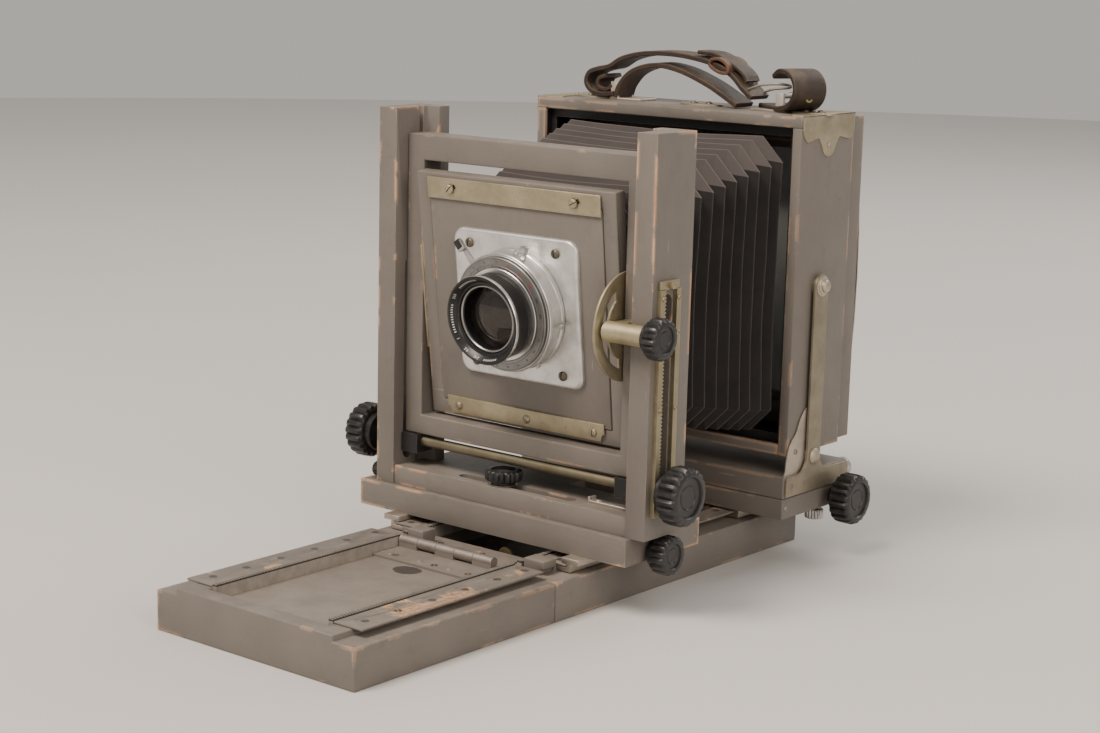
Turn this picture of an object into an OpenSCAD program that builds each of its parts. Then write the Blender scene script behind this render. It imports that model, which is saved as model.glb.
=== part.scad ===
// Wooden flat-bed view camera.
// Origin: mouth of the tripod socket under the bed. +Y runs to the back, the lens faces -Y, +Z is up.

/* [Bed] */
// Width of both bed sections
bed_w = 157; // [145:1:175]
// Length of the hinged front section
front_bed_l = 169; // [140:1:200]
// Length of the main section
main_bed_l = 257; // [250:1:310]
// Height of the outer ledges
ledge_h = 24.4; // [22:0.2:28]
// Height of the rail ridge above the ledge
ridge_rise = 3.9; // [3.5:0.1:5]
// Thickness of the metal rail plates
plate_t = 1.5; // [1:0.1:2]
// Width of the rail plates
plate_w = 21.2; // [19:0.2:23]
// Distance of the rails' inner sides from the centre line
rail_in = 48; // [44:0.5:52]
// Width of the raised ridges
ridge_w = 14; // [11:0.5:15]
// Distance from the bed joint to the tripod socket
socket_back = 120; // [80:1:150]
// Radius of the tripod socket
socket_r = 4.9; // [3:0.1:8]
// Depth of the tripod socket
socket_l = 14; // [8:0.5:16]

/* [Focus drive] */
// Tooth size of racks and pinions (pitch diameter over tooth count)
tooth = 0.7; // [0.6:0.05:0.8]
// Teeth on a focus pinion
focus_teeth = 23; // [22:1:24]
// Teeth on a rise pinion
rise_teeth = 14; // [13:1:14]
// Running clearance of shafts in their bores
run_gap = 0.06; // [0.03:0.01:0.09]

/* [Front standard] */
// Width of the crossbar
crossbar_w = 214; // [210:1:230]
// Distance of the crossbar's face behind the bed joint
crossbar_back = 28.4; // [24:0.2:40]
// Sideways shift of the standard at rest
shift_rest = 10.6; // [0:0.1:20]
// Distance between the outer faces of the posts
posts_w = 214; // [206:1:224]
// Width of one post
post_w = 14.2; // [13:0.2:16]
// Depth of one post
post_d = 37.6; // [34:0.2:42]
// Height of the posts' tops
post_top = 288; // [280:1:300]
// Height of the rising frame
frame_h = 189.8; // [180:0.2:200]
// Width of the rising frame's stiles
stile_w = 13.2; // [12:0.2:15]
// Depth of the rising frame
frame_d = 16.8; // [15:0.2:18]

/* [Lens] */
// Side of the square lens board
board_s = 133.35; // [120:0.05:140]
// Forward lean of the lens panel at rest, in degrees
lean = 6.9; // [0:0.1:10]
// Radius of the shutter case
shutter_r = 36.5; // [32:0.5:40]
// Radius of the lens front rim
lens_r = 27.2; // [24:0.2:29]
// Distance of the lens rim in front of the panel face
lens_out = 36; // [34:0.5:40]

/* [Rear standard] */
// Width of the rear frame
rear_w = 212.2; // [200:0.2:225]
// Height of the rear frame
rear_h = 215.9; // [205:0.1:225]
// Depth of the rear frame
rear_d = 61.4; // [55:0.2:66]
// Wall of the rear frame
rear_wall = 7; // [6:0.2:9]
// Distance of the rear frame behind the bed joint
rear_back = 198.2; // [190:0.2:205]

/* [Hidden] */
$fn = 64;

paint = [0.45, 0.43, 0.40];
nickel = [0.72, 0.69, 0.58];
black = [0.06, 0.06, 0.07];
silver = [0.80, 0.80, 0.80];
leather = [0.16, 0.12, 0.10];

gap = 0.3;
joint_y = -socket_back;
// Places measured back from the bed joint
function back(d) = joint_y + d;

// Bed levels and edges
bed_x = bed_w / 2;
ridge_z = ledge_h + ridge_rise;
plate_z = ridge_z + plate_t;
ridge_out = rail_in + ridge_w;
plate_in = rail_in + gap;
plate_out = plate_in + plate_w;
floor_z = ridge_z - 6.5;
well_z = 12;
front_rim = 12;
panel_t = 3;
leaf_t = 1.5;
hinge_z = floor_z + 5.5;
knuckle_r = 3.2;
pin_r = 1.6;
leaf_front_l = 26;
leaf_rear_l = 31;
fold_clear = 4.2;
rail_start = 20;
rack_start = 5;
block_l = 12;
block_top = 33.3;

// Racks and pinions
pitch = PI * tooth;
addendum = 0.7 * tooth;
dedendum = 0.9 * tooth;
rack_w = 3.4;
rack_z = plate_z + 0.4;
focus_r = focus_teeth * tooth / 2;
focus_z = rack_z + focus_r;
front_pinion_y = back(54.6);
rear_pinion_y = back(248.8);
shaft_r = 3;
rise_r = rise_teeth * tooth / 2;

// Front carriage
car_z0 = plate_z + 3.8;
car_z1 = car_z0 + 16.6;
car_y0 = back(crossbar_back);
car_y1 = car_y0 + 74;
crossbar_d = 15.6;
focus_knob_r = 12;
focus_knob_t = 15;

// Front standard
std_x = shift_rest;
base_z0 = car_z1 + 0.2;
base_z1 = base_z0 + 11.8;
post_y0 = car_y0 + 3.7;
post_y1 = post_y0 + post_d;
base_y0 = post_y0 + 1.2;
base_y1 = post_y1 + 26;
post_out = posts_w / 2;
post_in = post_out - post_w;
slot_y = post_y0 + 13.9;
slot_w = 10;
slot_z0 = 70;
slot_z1 = 190;
stud_y = post_y0 + 11.9;
shift_slot_half = 42;
stud_r = 4;

// Rising frame
frame_z0 = 83.2;
frame_z1 = frame_z0 + frame_h;
frame_y0 = post_y0 + 10.6;
frame_y1 = frame_y0 + frame_d;
frame_x = post_in - gap;
open_x = frame_x - stile_w;
open_z0 = frame_z0 + 12.5;
open_z1 = frame_z1 - 16;
tongue_y0 = slot_y + slot_w / 2 + 1.4;
tongue_d = 4;
tongue_out = 3;
rise_z = frame_z0 - 5;
rise_shaft_r = 3.2;
rise_knob_r = 17.6;
rise_knob_t = 18;

// Tilting lens panel
tilt_x = std_x + 0.1;
tilt_y = frame_y0 + 5.8;
tilt_z = 172.5;
face = -5.4;
panel_d = 9;
panel_up = 80;
panel_down = 75;
panel_x = open_x - 2.2;
board_t = 5.5;
board_z = 2.1;
board_fit = 0.4;
quad_t = 1.6;
quad_r = 33;
quad_slot_r = 23;
tube_r = 6.1;
tube_y = post_y0 - tube_r - 0.5;
clamp_r = 2;
tilt_knob_r = 12.3;

// Lens, measured from the panel's face along the lens axis
lens_x = 1;
lens_z = 3;
plate_face = face - 3.5;
case_front = plate_face - 13;
ring_front = case_front - 4;
rim_front = face - lens_out;
barrel_r = lens_r - 1.2;
boss_r = shutter_r - 8;
cock_front = case_front - 1.4;
release_turn = 22;
release_y = case_front + 4;
lens_hole_r = 24;
glass_r = 19;

// Rear standard
swing_x = 0;
swing_pin_r = 6;
low_z0 = plate_z + 1.3;
low_z1 = low_z0 + 13.4;
up_z0 = low_z1 + 0.2;
up_z1 = up_z0 + 14.6;
rear_base_w = rear_w + 5;
rear_base_y0 = back(rear_back - 6.2);
rear_base_y1 = back(rear_back + 70);
rear_y0 = back(rear_back);
rear_y1 = rear_y0 + rear_d;
rear_z0 = up_z1 + 12.2;
rear_z1 = rear_z0 + rear_h;
rear_x = rear_w / 2;
swing_y = (rear_base_y0 + rear_base_y1) / 2;
rivet_y = back(rear_back + 26);
rivet_z = 179.8;
strap_w = 15;
strap_t = 1.6;
rear_knob_r = 16.5;
rear_hub_r = 5.8;
rear_hub_t = 6.4;
back_t = 15;

module block(x0, x1, y0, y1, z0, z1) {
  translate([x0, y0, z0]) cube([x1 - x0, y1 - y0, z1 - z0]);
}

// A rod along X
module rod_x(x0, x1, y, z, r) {
  translate([x0, y, z]) rotate([0, 90, 0]) cylinder(h = x1 - x0, r = r);
}

// A rod along Y
module rod_y(y0, y1, x, z, r) {
  translate([x, y1, z]) rotate([90, 0, 0]) cylinder(h = y1 - y0, r = r);
}

// Both mirrored copies about a plane x = about
module both(about = 0) {
  children();
  translate([2 * about, 0, 0]) mirror([1, 0, 0]) children();
}

// Low domed screw head on a level face
module screw_head(x, y, z, r = 2.2) {
  translate([x, y, z - 0.1]) cylinder(h = 0.7, r1 = r, r2 = r * 0.7);
}

// Fluted knob with a recessed face, its back on z = 0 and its face at z = t
module knob(r, t, bore_r, flutes = 18, hub_r = 0, hub_t = 0) {
  difference() {
    union() {
      translate([0, 0, max(t * 0.22, hub_t)]) cylinder(h = t - max(t * 0.22, hub_t), r = r);
      cylinder(h = max(t * 0.3, hub_t + 1), r = hub_r > 0 ? hub_r : r * 0.72);
    }
    translate([0, 0, t - 1.6]) cylinder(h = 2, r = r * 0.66);
    for (i = [0:flutes - 1])
      rotate([0, 0, i * 360 / flutes]) translate([r + 0.35, 0, t * 0.1]) cylinder(h = t, r = r * 0.085);
    translate([0, 0, -1]) cylinder(h = t * 0.7, r = bore_r);
  }
}

// Rack teeth outline along its own X from 0 to l: a gap is centred wherever (x - phase) is a whole pitch
module rack_outline(l, phase, depth) {
  first = floor(-phase / pitch) - 1;
  last = ceil((l - phase) / pitch) + 1;
  intersection() {
    square([l, depth + addendum]);
    union() {
      square([l, depth - dedendum]);
      for (i = [first:last]) {
        c = phase + (i + 0.5) * pitch;
        polygon([
          [c - 0.36 * pitch, depth - dedendum - 0.01], [c + 0.36 * pitch, depth - dedendum - 0.01],
          [c + 0.12 * pitch, depth + addendum], [c - 0.12 * pitch, depth + addendum]
        ]);
      }
    }
  }
}

// Pinion outline with a tooth on its -Y side turned by a phase angle
module pinion_outline(teeth, phase) {
  r = teeth * tooth / 2;
  circle(r = r - dedendum);
  for (i = [0:teeth - 1])
    rotate(i * 360 / teeth + phase - 90)
      polygon([
        [r - dedendum - 0.4, -0.27 * pitch], [r + addendum * 0.8, -0.08 * pitch],
        [r + addendum * 0.8, 0.08 * pitch], [r - dedendum - 0.4, 0.27 * pitch]
      ]);
}

// ---- Bed ----

module bed_section(y0, y1) {
  block(-bed_x, bed_x, y0, y1, 0, floor_z - panel_t);
  both() {
    block(rail_in, bed_x, y0, y1, 0, ledge_h);
    block(rail_in, ridge_out, y0, y1, 0, ridge_z);
  }
}

module bed_main() {
  color(paint) difference() {
    union() {
      bed_section(joint_y + 0.2, back(main_bed_l));
      block(-rail_in, rail_in, joint_y + 0.2, back(leaf_rear_l + 2), 0, floor_z);
    }
    block(-rail_in, rail_in, back(leaf_rear_l + 2), back(main_bed_l - 14), well_z, ridge_z);
    block(-ridge_out - 1, ridge_out + 1, joint_y - 1, back(rail_start - 0.5), ledge_h, ridge_z + 1);
    translate([0, 0, -1]) cylinder(h = socket_l + 1.1, r = socket_r + 2.5);
  }
}

module rail_plate(y0, y1) {
  count = 6;
  block(plate_in, plate_out, y0, y1, ridge_z, plate_z);
  for (i = [0:count - 1])
    screw_head(plate_in + 7, y0 + 8 + i * (y1 - y0 - 16) / (count - 1), plate_z - 0.5, 1.9);
}

module main_rail_l() { color(nickel) mirror([1, 0, 0]) rail_plate(back(rail_start), back(main_bed_l - 4)); }
module main_rail_r() { color(nickel) rail_plate(back(rail_start), back(main_bed_l - 4)); }
module front_rail_l() { color(nickel) mirror([1, 0, 0]) rail_plate(back(-154), joint_y - 0.6); }
module front_rail_r() { color(nickel) rail_plate(back(-154), joint_y - 0.6); }

// One rack bar inside each rail, standing on z0
module rack_pair(y0, y1, z0) {
  both() translate([rail_in - rack_w, y0, z0])
    rotate([90, 0, 90]) linear_extrude(height = rack_w - 0.05)
      rack_outline(y1 - y0, front_pinion_y - y0, rack_z - z0);
}

module main_racks() { color(nickel) rack_pair(back(rack_start), back(main_bed_l - 1), floor_z); }
module front_racks() { color(nickel) rack_pair(back(-154), joint_y - 1, floor_z); }

module bed_front() {
  color(paint) difference() {
    union() {
      bed_section(back(-front_bed_l), joint_y - 0.2);
      block(-ridge_out, ridge_out, back(-front_bed_l), back(-front_bed_l + front_rim), 0, ridge_z);
    }
  }
}

module front_panel() {
  color(paint) block(-rail_in + 0.1, rail_in - 0.1, back(-front_bed_l + front_rim + 0.1), joint_y - 0.2,
                     floor_z - panel_t, floor_z);
}

// Hinge knuckles between x0 and x1, with their web down to a leaf that runs to y1
module knuckle(x0, x1, side) {
  difference() {
    union() {
      rod_x(x0, x1, joint_y, hinge_z, knuckle_r);
      block(x0, x1, side > 0 ? joint_y + 1.2 : joint_y - knuckle_r, side > 0 ? joint_y + knuckle_r : joint_y - 1.2,
            floor_z, hinge_z);
    }
    rod_x(x0 - 1, x1 + 1, joint_y, hinge_z, pin_r + run_gap);
  }
}

hinge_x0 = -44;
hinge_x1 = 31;
knuckles = 5;
knuckle_l = (hinge_x1 - hinge_x0) / knuckles;

module hinge_rear_leaf() {
  color(nickel) {
    block(hinge_x0, -hinge_x0, joint_y + 1.2, back(leaf_rear_l), floor_z, floor_z + leaf_t);
    for (i = [1, 3])
      knuckle(hinge_x0 + i * knuckle_l + 0.1, hinge_x0 + (i + 1) * knuckle_l - 0.1, 1);
    rod_x(hinge_x0, hinge_x1, joint_y, hinge_z, pin_r);
    for (i = [1, 3]) {
      x = hinge_x0 + (i + 0.5) * knuckle_l;
      block(x - 2, x + 2, joint_y - pin_r / 2, joint_y + pin_r + 0.4, hinge_z - 0.5, hinge_z + 0.5);
    }
    for (x = [-34, 0, 34])
      screw_head(x, back(leaf_rear_l - 8), floor_z + leaf_t);
  }
}

module hinge_front_leaf() {
  color(nickel) {
    block(hinge_x0, -hinge_x0, back(-leaf_front_l), joint_y - 1.2, floor_z, floor_z + leaf_t);
    for (i = [0, 2, 4])
      knuckle(hinge_x0 + i * knuckle_l + 0.1, hinge_x0 + (i + 1) * knuckle_l - 0.1, -1);
    for (x = [-36, -12, 12, 36])
      screw_head(x, back(-leaf_front_l + 7), floor_z + leaf_t);
  }
}

module bed_blocks() {
  color(paint) {
    block(-rail_in + rack_w + 0.4, -rail_in + rack_w + 13, back(rack_start), back(rack_start + block_l),
          floor_z + leaf_t, block_top);
    block(rail_in + 1.5, ridge_out, back(rack_start), back(rack_start + block_l), ledge_h, block_top);
    block(rail_in + 1.6, ridge_out + 3, back(rack_start), back(rack_start + block_l), ridge_z, block_top);
  }
}

module tripod_bush() {
  color(nickel) difference() {
    cylinder(h = socket_l, r = socket_r + 2.5);
    translate([0, 0, -1]) cylinder(h = socket_l - 1, r = socket_r);
  }
}

// ---- Front carriage ----

// C-shaped guide that hooks under a rail plate, from y0 to y1, with its top at z1
module gib(y0, y1, z1) {
  x0 = plate_in + 17.5;
  x1 = plate_out + gap;
  block(x0, x1 + 9, y0, y1, plate_z + gap, z1);
  block(x1, x1 + 3, y0, y1, ledge_h + 0.6, plate_z + gap + 0.1);
  block(ridge_out + 0.6, x1 + 0.1, y0, y1, ledge_h + 0.6, ridge_z - gap);
}

module front_gibs() { color(nickel) both() gib(car_y0 - 8, car_y1 - 8, car_z0); }

module front_carriage() {
  color(paint) difference() {
    union() {
      block(-crossbar_w / 2, crossbar_w / 2, car_y0, car_y0 + crossbar_d, car_z0, car_z1);
      block(-crossbar_w / 2, crossbar_w / 2, car_y0 + crossbar_d - 0.01, car_y1, car_z0, car_z1 - 0.01);
    }
    rod_x(-crossbar_w, crossbar_w, front_pinion_y, focus_z, shaft_r + run_gap);
    both() block(rail_in - rack_w - 1, rail_in + 1, front_pinion_y - focus_r - 2, front_pinion_y + focus_r + 2,
                 car_z0 - 1, car_z1 + 1);
  }
}

// Focus shaft with its two pinions at height z and depth y, reaching to +-x1
module focus_shaft(y, x0, x1) {
  offset_y = (round((y - front_pinion_y) / pitch) * pitch - (y - front_pinion_y));
  turn = offset_y / focus_r * 180 / PI;
  rod_x(x0, x1, y, focus_z, shaft_r);
  for (x = [-rail_in + 0.15, rail_in - rack_w + 0.05])
    translate([x, y, focus_z]) rotate([90, 0, 90]) linear_extrude(height = rack_w - 0.2)
      pinion_outline(focus_teeth, turn);
}

front_shaft_x = crossbar_w / 2 + 10.9;
module front_focus_shaft() {
  color(nickel) focus_shaft(front_pinion_y, -crossbar_w / 2 - 0.4, front_shaft_x);
}

module front_focus_knob() {
  color(black) translate([crossbar_w / 2 + 1.5, front_pinion_y, focus_z])
    rotate([90, 0, 90]) knob(focus_knob_r, focus_knob_t, shaft_r);
}

lock_y = post_y0 + 8;
lock_z = base_z0 + 5;
module front_lock_knob() {
  color(black) translate([std_x - post_out - 1, lock_y, lock_z]) rotate([90, 0, -90]) knob(4.8, 7, 1.8, 14);
  color(nickel) rod_x(std_x - post_out - 5, std_x - post_out - 0.3, lock_y, lock_z, 1.8);
}

module shift_knob() {
  color(black) translate([0, stud_y, base_z1 + 0.4]) knob(11.8, rise_z - rise_r - addendum - base_z1 - 1.2, stud_r - 1);
  color(nickel) translate([0, stud_y, base_z0 + 0.3]) cylinder(h = base_z1 - base_z0 + 4, r = stud_r - 1);
}

// ---- Front standard ----

module front_base() {
  color(paint) difference() {
    block(std_x - post_in + 0.1, std_x + post_in - 0.1, base_y0, base_y1, base_z0, base_z1);
    for (x = [-shift_slot_half, shift_slot_half])
      translate([std_x + x, stud_y, base_z0 - 1]) cylinder(h = 20, r = stud_r);
    block(std_x - shift_slot_half, std_x + shift_slot_half, stud_y - stud_r, stud_y + stud_r,
          base_z0 - 1, base_z1 + 1);
    block(std_x + 18, std_x + 76, base_y1 - 22, base_y1 - 6, base_z0 - 1, base_z1 + 1);
  }
}

// One post seen from outside at x1 outer face, x0 inner face, with its inner rear flange
module post(top) {
  flange = 10;
  difference() {
    union() {
      block(post_in, post_out, post_y0, post_y1, base_z0, top);
      block(post_in - flange, post_in + 0.1, frame_y1 + 0.6, post_y1, base_z1 + 0.1, top);
    }
    hull() for (z = [slot_z0, slot_z1])
      rod_x(post_in - 20, post_out + 1, slot_y, z, slot_w / 2);
    block(post_in - 0.1, post_in + tongue_out + 0.3, tongue_y0 - 0.3, tongue_y0 + tongue_d + 0.3,
          base_z1, top + 1);
  }
}

module post_r() { color(paint) translate([std_x, 0, 0]) post(post_top - 1); }
module post_l() { color(paint) translate([std_x, 0, 0]) mirror([1, 0, 0]) post(post_top + 1); }

rack_strip_t = 3;
// Toothed strip in front of the slot and a plain guide strip behind it
module rise_rack() {
  z0 = base_z1 + 2;
  l = slot_z1 + slot_w / 2 + 3 - z0;
  pitch_y = slot_y - rise_r;
  strip = 4.4;
  translate([post_out, pitch_y - strip, z0])
    rotate([0, -90, 0]) mirror([0, 0, 1]) linear_extrude(height = rack_strip_t)
      rack_outline(l, rise_z - z0, strip);
  block(post_out, post_out + rack_strip_t, slot_y + rise_r + addendum + 0.6, slot_y + rise_r + addendum + 4.6,
        z0, z0 + l);
}

module rise_rack_r() { color(nickel) translate([std_x, 0, 0]) rise_rack(); }
module rise_rack_l() { color(nickel) translate([std_x, 0, 0]) mirror([1, 0, 0]) rise_rack(); }

module lever_strip() {
  color(nickel) {
    block(std_x + 54, std_x + post_in - 0.2, slot_y, slot_y + 6.5, base_z1, base_z1 + 1.4);
    block(std_x + 54, std_x + 55.4, slot_y, slot_y + 6.5, base_z1 + 1.3, base_z1 + 3.6);
    screw_head(std_x + 60, slot_y + 3.2, base_z1 + 1.4, 2);
  }
}

// ---- Rising frame ----

module rising_frame() {
  color(paint) translate([std_x, 0, 0]) difference() {
    union() {
      block(-frame_x, frame_x, frame_y0, frame_y1, frame_z0, frame_z1);
      both() block(frame_x - 0.1, frame_x + tongue_out, tongue_y0, tongue_y0 + tongue_d, frame_z0, frame_z1);
    }
    block(-open_x, open_x, frame_y0 - 1, frame_y1 + 1, open_z0, open_z1);
    rod_x(-frame_x + 3, frame_x - 3, tilt_y, tilt_z, 2.5);
  }
}

bearing_x0 = post_in - 14;
bearing_x1 = post_in - 1;
module rise_bearings() {
  color(black) translate([std_x, 0, 0]) both() difference() {
    block(bearing_x0, bearing_x1, slot_y - 7, slot_y + 7, rise_z - 7, frame_z0);
    rod_x(bearing_x0 - 1, bearing_x1 + 1, slot_y, rise_z, rise_shaft_r + run_gap);
  }
}

tube_x0 = open_x + 1.2;
tube_x1 = post_out + 2;
module tilt_tube() {
  color(nickel) translate([std_x, 0, 0]) difference() {
    union() {
      rod_x(tube_x0, tube_x1, tube_y, tilt_z, tube_r);
      block(tube_x0, tube_x0 + 9, tube_y, frame_y0, tilt_z - 5, tilt_z + 5);
    }
    rod_x(tube_x0 - 1, tube_x1 + 1, tube_y, tilt_z, clamp_r + run_gap);
  }
}

module tilt_pivots() {
  color(nickel) translate([std_x, 0, 0]) both()
    rod_x(panel_x - 6, frame_x - 3.2, tilt_y, tilt_z, 2.5);
}

rise_left_extra = 5;
module rise_shaft() {
  color(nickel) translate([std_x, 0, 0]) {
    rod_x(-post_out - 15.5 - rise_left_extra, post_out + 15.5, slot_y, rise_z, rise_shaft_r);
    for (x = [-post_out - rack_strip_t + 0.2, post_out + 0.2])
      translate([x, slot_y, rise_z]) rotate([90, 0, 90]) linear_extrude(height = rack_strip_t - 0.4)
        pinion_outline(rise_teeth, -90);
  }
}

module rise_knob_r() {
  color(black) translate([std_x + post_out + 4, slot_y, rise_z])
    rotate([90, 0, 90]) knob(rise_knob_r, rise_knob_t, rise_shaft_r, 20);
}

module rise_knob_l() {
  color(black) translate([std_x - post_out - 4 - rise_left_extra, slot_y, rise_z])
    rotate([90, 0, -90]) knob(rise_knob_r, rise_knob_t, rise_shaft_r, 20);
}

module tilt_knob() {
  color(black) translate([std_x + tube_x1 + 0.6, tube_y, tilt_z])
    rotate([90, 0, 90]) knob(tilt_knob_r, 13, clamp_r);
  color(nickel) {
    rod_x(std_x + panel_x - 3, std_x + tube_x1 + 6, tube_y, tilt_z, clamp_r);
    rod_x(std_x + panel_x - 3.4, std_x + panel_x - 0.6, tube_y, tilt_z, 4.4);
  }
}

// ---- Lens panel, built upright about its pivot and leaned forward ----

module leaned() { translate([tilt_x, tilt_y, tilt_z]) rotate([lean, 0, 0]) children(); }

module rounded_plate(w, h, r, y0, y1, z = 0, x = 0) {
  block(x - w / 2 + r, x + w / 2 - r, y0, y1, z - h / 2, z + h / 2);
  block(x - w / 2, x + w / 2, y0, y1, z - h / 2 + r, z + h / 2 - r);
  for (a = [-1, 1])
    for (b = [-1, 1])
      rod_y(y0, y1, x + a * (w / 2 - r), z + b * (h / 2 - r), r);
}

module tilt_panel() {
  recess = board_s / 2 + board_fit;
  through = board_s / 2 - 8;
  color(paint) leaned() difference() {
    block(-panel_x, panel_x, face, face + panel_d, -panel_down, panel_up);
    block(-recess, recess, face - 1, face + board_t - 0.5, board_z - recess, board_z + recess);
    block(-through, through, face - 1, face + panel_d + 1, board_z - through, board_z + through);
    both() rod_x(panel_x - 7, panel_x + 1, 0, 0, 2.5 + run_gap);
  }
}

// The right side plate is a slotted quadrant, the left one a plain pivot plate
module quadrants() {
  color(nickel) leaned() difference() {
    union() {
      intersection() {
        rod_x(panel_x, panel_x + quad_t, 0, 0, quad_r);
        block(panel_x - 1, panel_x + quad_t + 1, -quad_r - 1, face + panel_d, -quad_r - 1, quad_r + 1);
      }
      block(-panel_x - quad_t, -panel_x, face, face + panel_d, -quad_r, quad_r);
    }
    difference() {
      rod_x(panel_x - 1, panel_x + quad_t + 1, 0, 0, quad_slot_r + 2.6);
      rod_x(panel_x - 2, panel_x + quad_t + 2, 0, 0, quad_slot_r - 2.6);
      block(panel_x - 3, panel_x + quad_t + 3, -11, quad_r, -quad_r, quad_r);
    }
    both() rod_x(panel_x - 1, panel_x + quad_t + 1, 0, 0, 2.5 + run_gap);
  }
}

clip_t = 1.4;
module bottom_clip() {
  color(nickel) leaned() {
    block(-62, 62, face - 0.5 - clip_t, face - 0.5, board_z - board_s / 2 - 8, board_z - board_s / 2 + 3);
    for (x = [-50, 0, 50])
      translate([x, face - 0.5 - clip_t + 0.1, board_z - board_s / 2 - 3]) rotate([90, 0, 0]) cylinder(h = 0.8, r1 = 2.4, r2 = 1.5);
  }
}

module top_clip() {
  color(nickel) leaned() difference() {
    block(-67, 67, face - 0.5 - clip_t, face - 0.5, board_z + board_s / 2 - 4, board_z + board_s / 2 + 9);
    for (x = [-48, 48])
      translate([x, face - 3, board_z + board_s / 2 + 2.5]) rotate([0, -30, 0]) block(-4, 4, 0, 4, -1.3, 1.3);
  }
}

module lens_board() {
  h = board_s / 2;
  color(paint) leaned() difference() {
    block(-h, h, face - 0.5, face + board_t - 0.6, board_z - h, board_z + h);
    rod_y(face - 2, face + board_t + 1, lens_x, lens_z, lens_hole_r);
  }
}

module adapter_plate() {
  color(silver) leaned() {
    difference() {
      rounded_plate(96, 91.5, 8, plate_face, face - 0.5, lens_z, lens_x);
      rod_y(plate_face - 1, face + 1, lens_x, lens_z, lens_hole_r);
    }
    for (a = [-1, 1])
      for (b = [-1, 1])
        translate([lens_x + a * 36, plate_face + 0.1, lens_z + b * 36]) rotate([90, 0, 0]) cylinder(h = 1, r1 = 2.6, r2 = 1.8);
  }
}

// A ring about the lens axis
module lens_ring(y0, y1, r_out, r_in) {
  difference() {
    rod_y(y0, y1, lens_x, lens_z, r_out);
    rod_y(y0 - 1, y1 + 1, lens_x, lens_z, r_in);
  }
}

module shutter_case() {
  color(silver) leaned() {
    difference() {
      lens_ring(case_front, plate_face, shutter_r, lens_hole_r - 1);
      translate([lens_x, 0, lens_z]) rotate([0, release_turn, 0])
        block(-2.7, 10.5, release_y - 0.4, release_y + 3.4, lens_hole_r + 4, shutter_r + 1);
    }
    lens_ring(plate_face - 0.1, face + board_t + 4, lens_hole_r - 0.3, lens_hole_r - 3);
    lens_ring(ring_front, case_front + 0.1, boss_r, lens_hole_r - 1);
  }
}

module speed_ring() {
  color(black) leaned() lens_ring(ring_front + 0.2, cock_front - 0.3, shutter_r - 1.5, boss_r + run_gap);
}

module front_barrel() {
  color(black) leaned() {
    lens_ring(rim_front, ring_front, barrel_r, glass_r + 1);
    lens_ring(rim_front - 0.6, rim_front + 3, lens_r, glass_r + 3);
    lens_ring(ring_front - 0.1, case_front + 3, lens_hole_r - 1.05, glass_r + 1);
  }
}

module lens_glass() {
  color([0.3, 0.3, 0.4]) leaned() intersection() {
    rod_y(rim_front + 3, rim_front + 15, lens_x, lens_z, glass_r + 0.9);
    translate([lens_x, rim_front + 5 + 40, lens_z]) sphere(r = 40, $fn = 96);
  }
}

module rear_cell() {
  color(black) leaned() {
    lens_ring(face + board_t + 4.2, face + board_t + 14, 22, 15);
    rod_y(face + board_t + 8, face + board_t + 11, lens_x, lens_z, 15.2);
  }
}

module cocking_lever() {
  color(silver) leaned() {
    lens_ring(cock_front, case_front - 0.2, shutter_r - 0.6, boss_r + run_gap);
    translate([lens_x, 0, lens_z]) rotate([0, -36, 0]) {
      block(-2.2, 2.2, cock_front, case_front - 0.2, shutter_r - 2, shutter_r + 15);
      block(-2.6, 2.6, cock_front - 3, cock_front + 0.1, shutter_r + 9, shutter_r + 15.5);
    }
  }
}

module release_lever() {
  color(silver) leaned() translate([lens_x, 0, lens_z]) rotate([0, release_turn, 0])
    block(-2, 2, release_y, release_y + 3, lens_hole_r + 5.6, shutter_r + 8);
}

// ---- Bellows ----

bellows_y0 = frame_y1 + 0.6;
bellows_y1 = rear_y0 + 4;
module bellows_taper(inset) {
  hull() {
    block(tilt_x - 62 + inset, tilt_x + 62 - inset, bellows_y0 - (inset > 0 ? 1 : 0), bellows_y0 + 1,
          tilt_z - 62 + inset, tilt_z + 66 - inset);
    block(-92 + inset, 92 - inset, bellows_y1 - 1, bellows_y1 + (inset > 0 ? 1 : 0),
          rear_z0 + 12 + inset, rear_z1 - 12 - inset);
  }
}
module bellows() {
  color([0.1, 0.09, 0.12]) difference() {
    bellows_taper(0);
    bellows_taper(3);
  }
}

// ---- Rear standard ----

module rear_gibs() { color(nickel) both() gib(rear_base_y0 + 4, rear_base_y1 - 4, low_z0); }

module rear_carriage() {
  h = rear_base_w / 2;
  color(paint) difference() {
    block(-h, h, rear_base_y0, rear_base_y1, low_z0, low_z1);
    rod_x(-h - 1, h + 1, rear_pinion_y, focus_z, shaft_r + run_gap);
    both() block(rail_in - rack_w - 1, rail_in + 1, rear_pinion_y - focus_r - 2, rear_pinion_y + focus_r + 2,
                 low_z0 - 1, low_z1 + 1);
    translate([swing_x, swing_y, low_z0 + 2]) cylinder(h = 20, r = swing_pin_r + run_gap);
  }
}

module rear_focus_shaft() {
  h = rear_base_w / 2;
  color(nickel) focus_shaft(rear_pinion_y, -h - 15, h + 15);
}

module rear_focus_knob() {
  h = rear_base_w / 2;
  color(black) for (s = [-1, 1])
    translate([s * (h + 1.5), rear_pinion_y, focus_z]) rotate([90, 0, s * 90]) knob(rear_knob_r, 21, shaft_r, 20, rear_hub_r, rear_hub_t);
}

nut_x = 99;
nut_y = back(246);
module rear_lock_nut() {
  color(silver) {
    translate([nut_x, nut_y, low_z0 - 10]) cylinder(h = 7, r = 6.2);
    translate([nut_x, nut_y, low_z0 - 3.2]) cylinder(h = 2.9, r = 3.2);
  }
}

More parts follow.
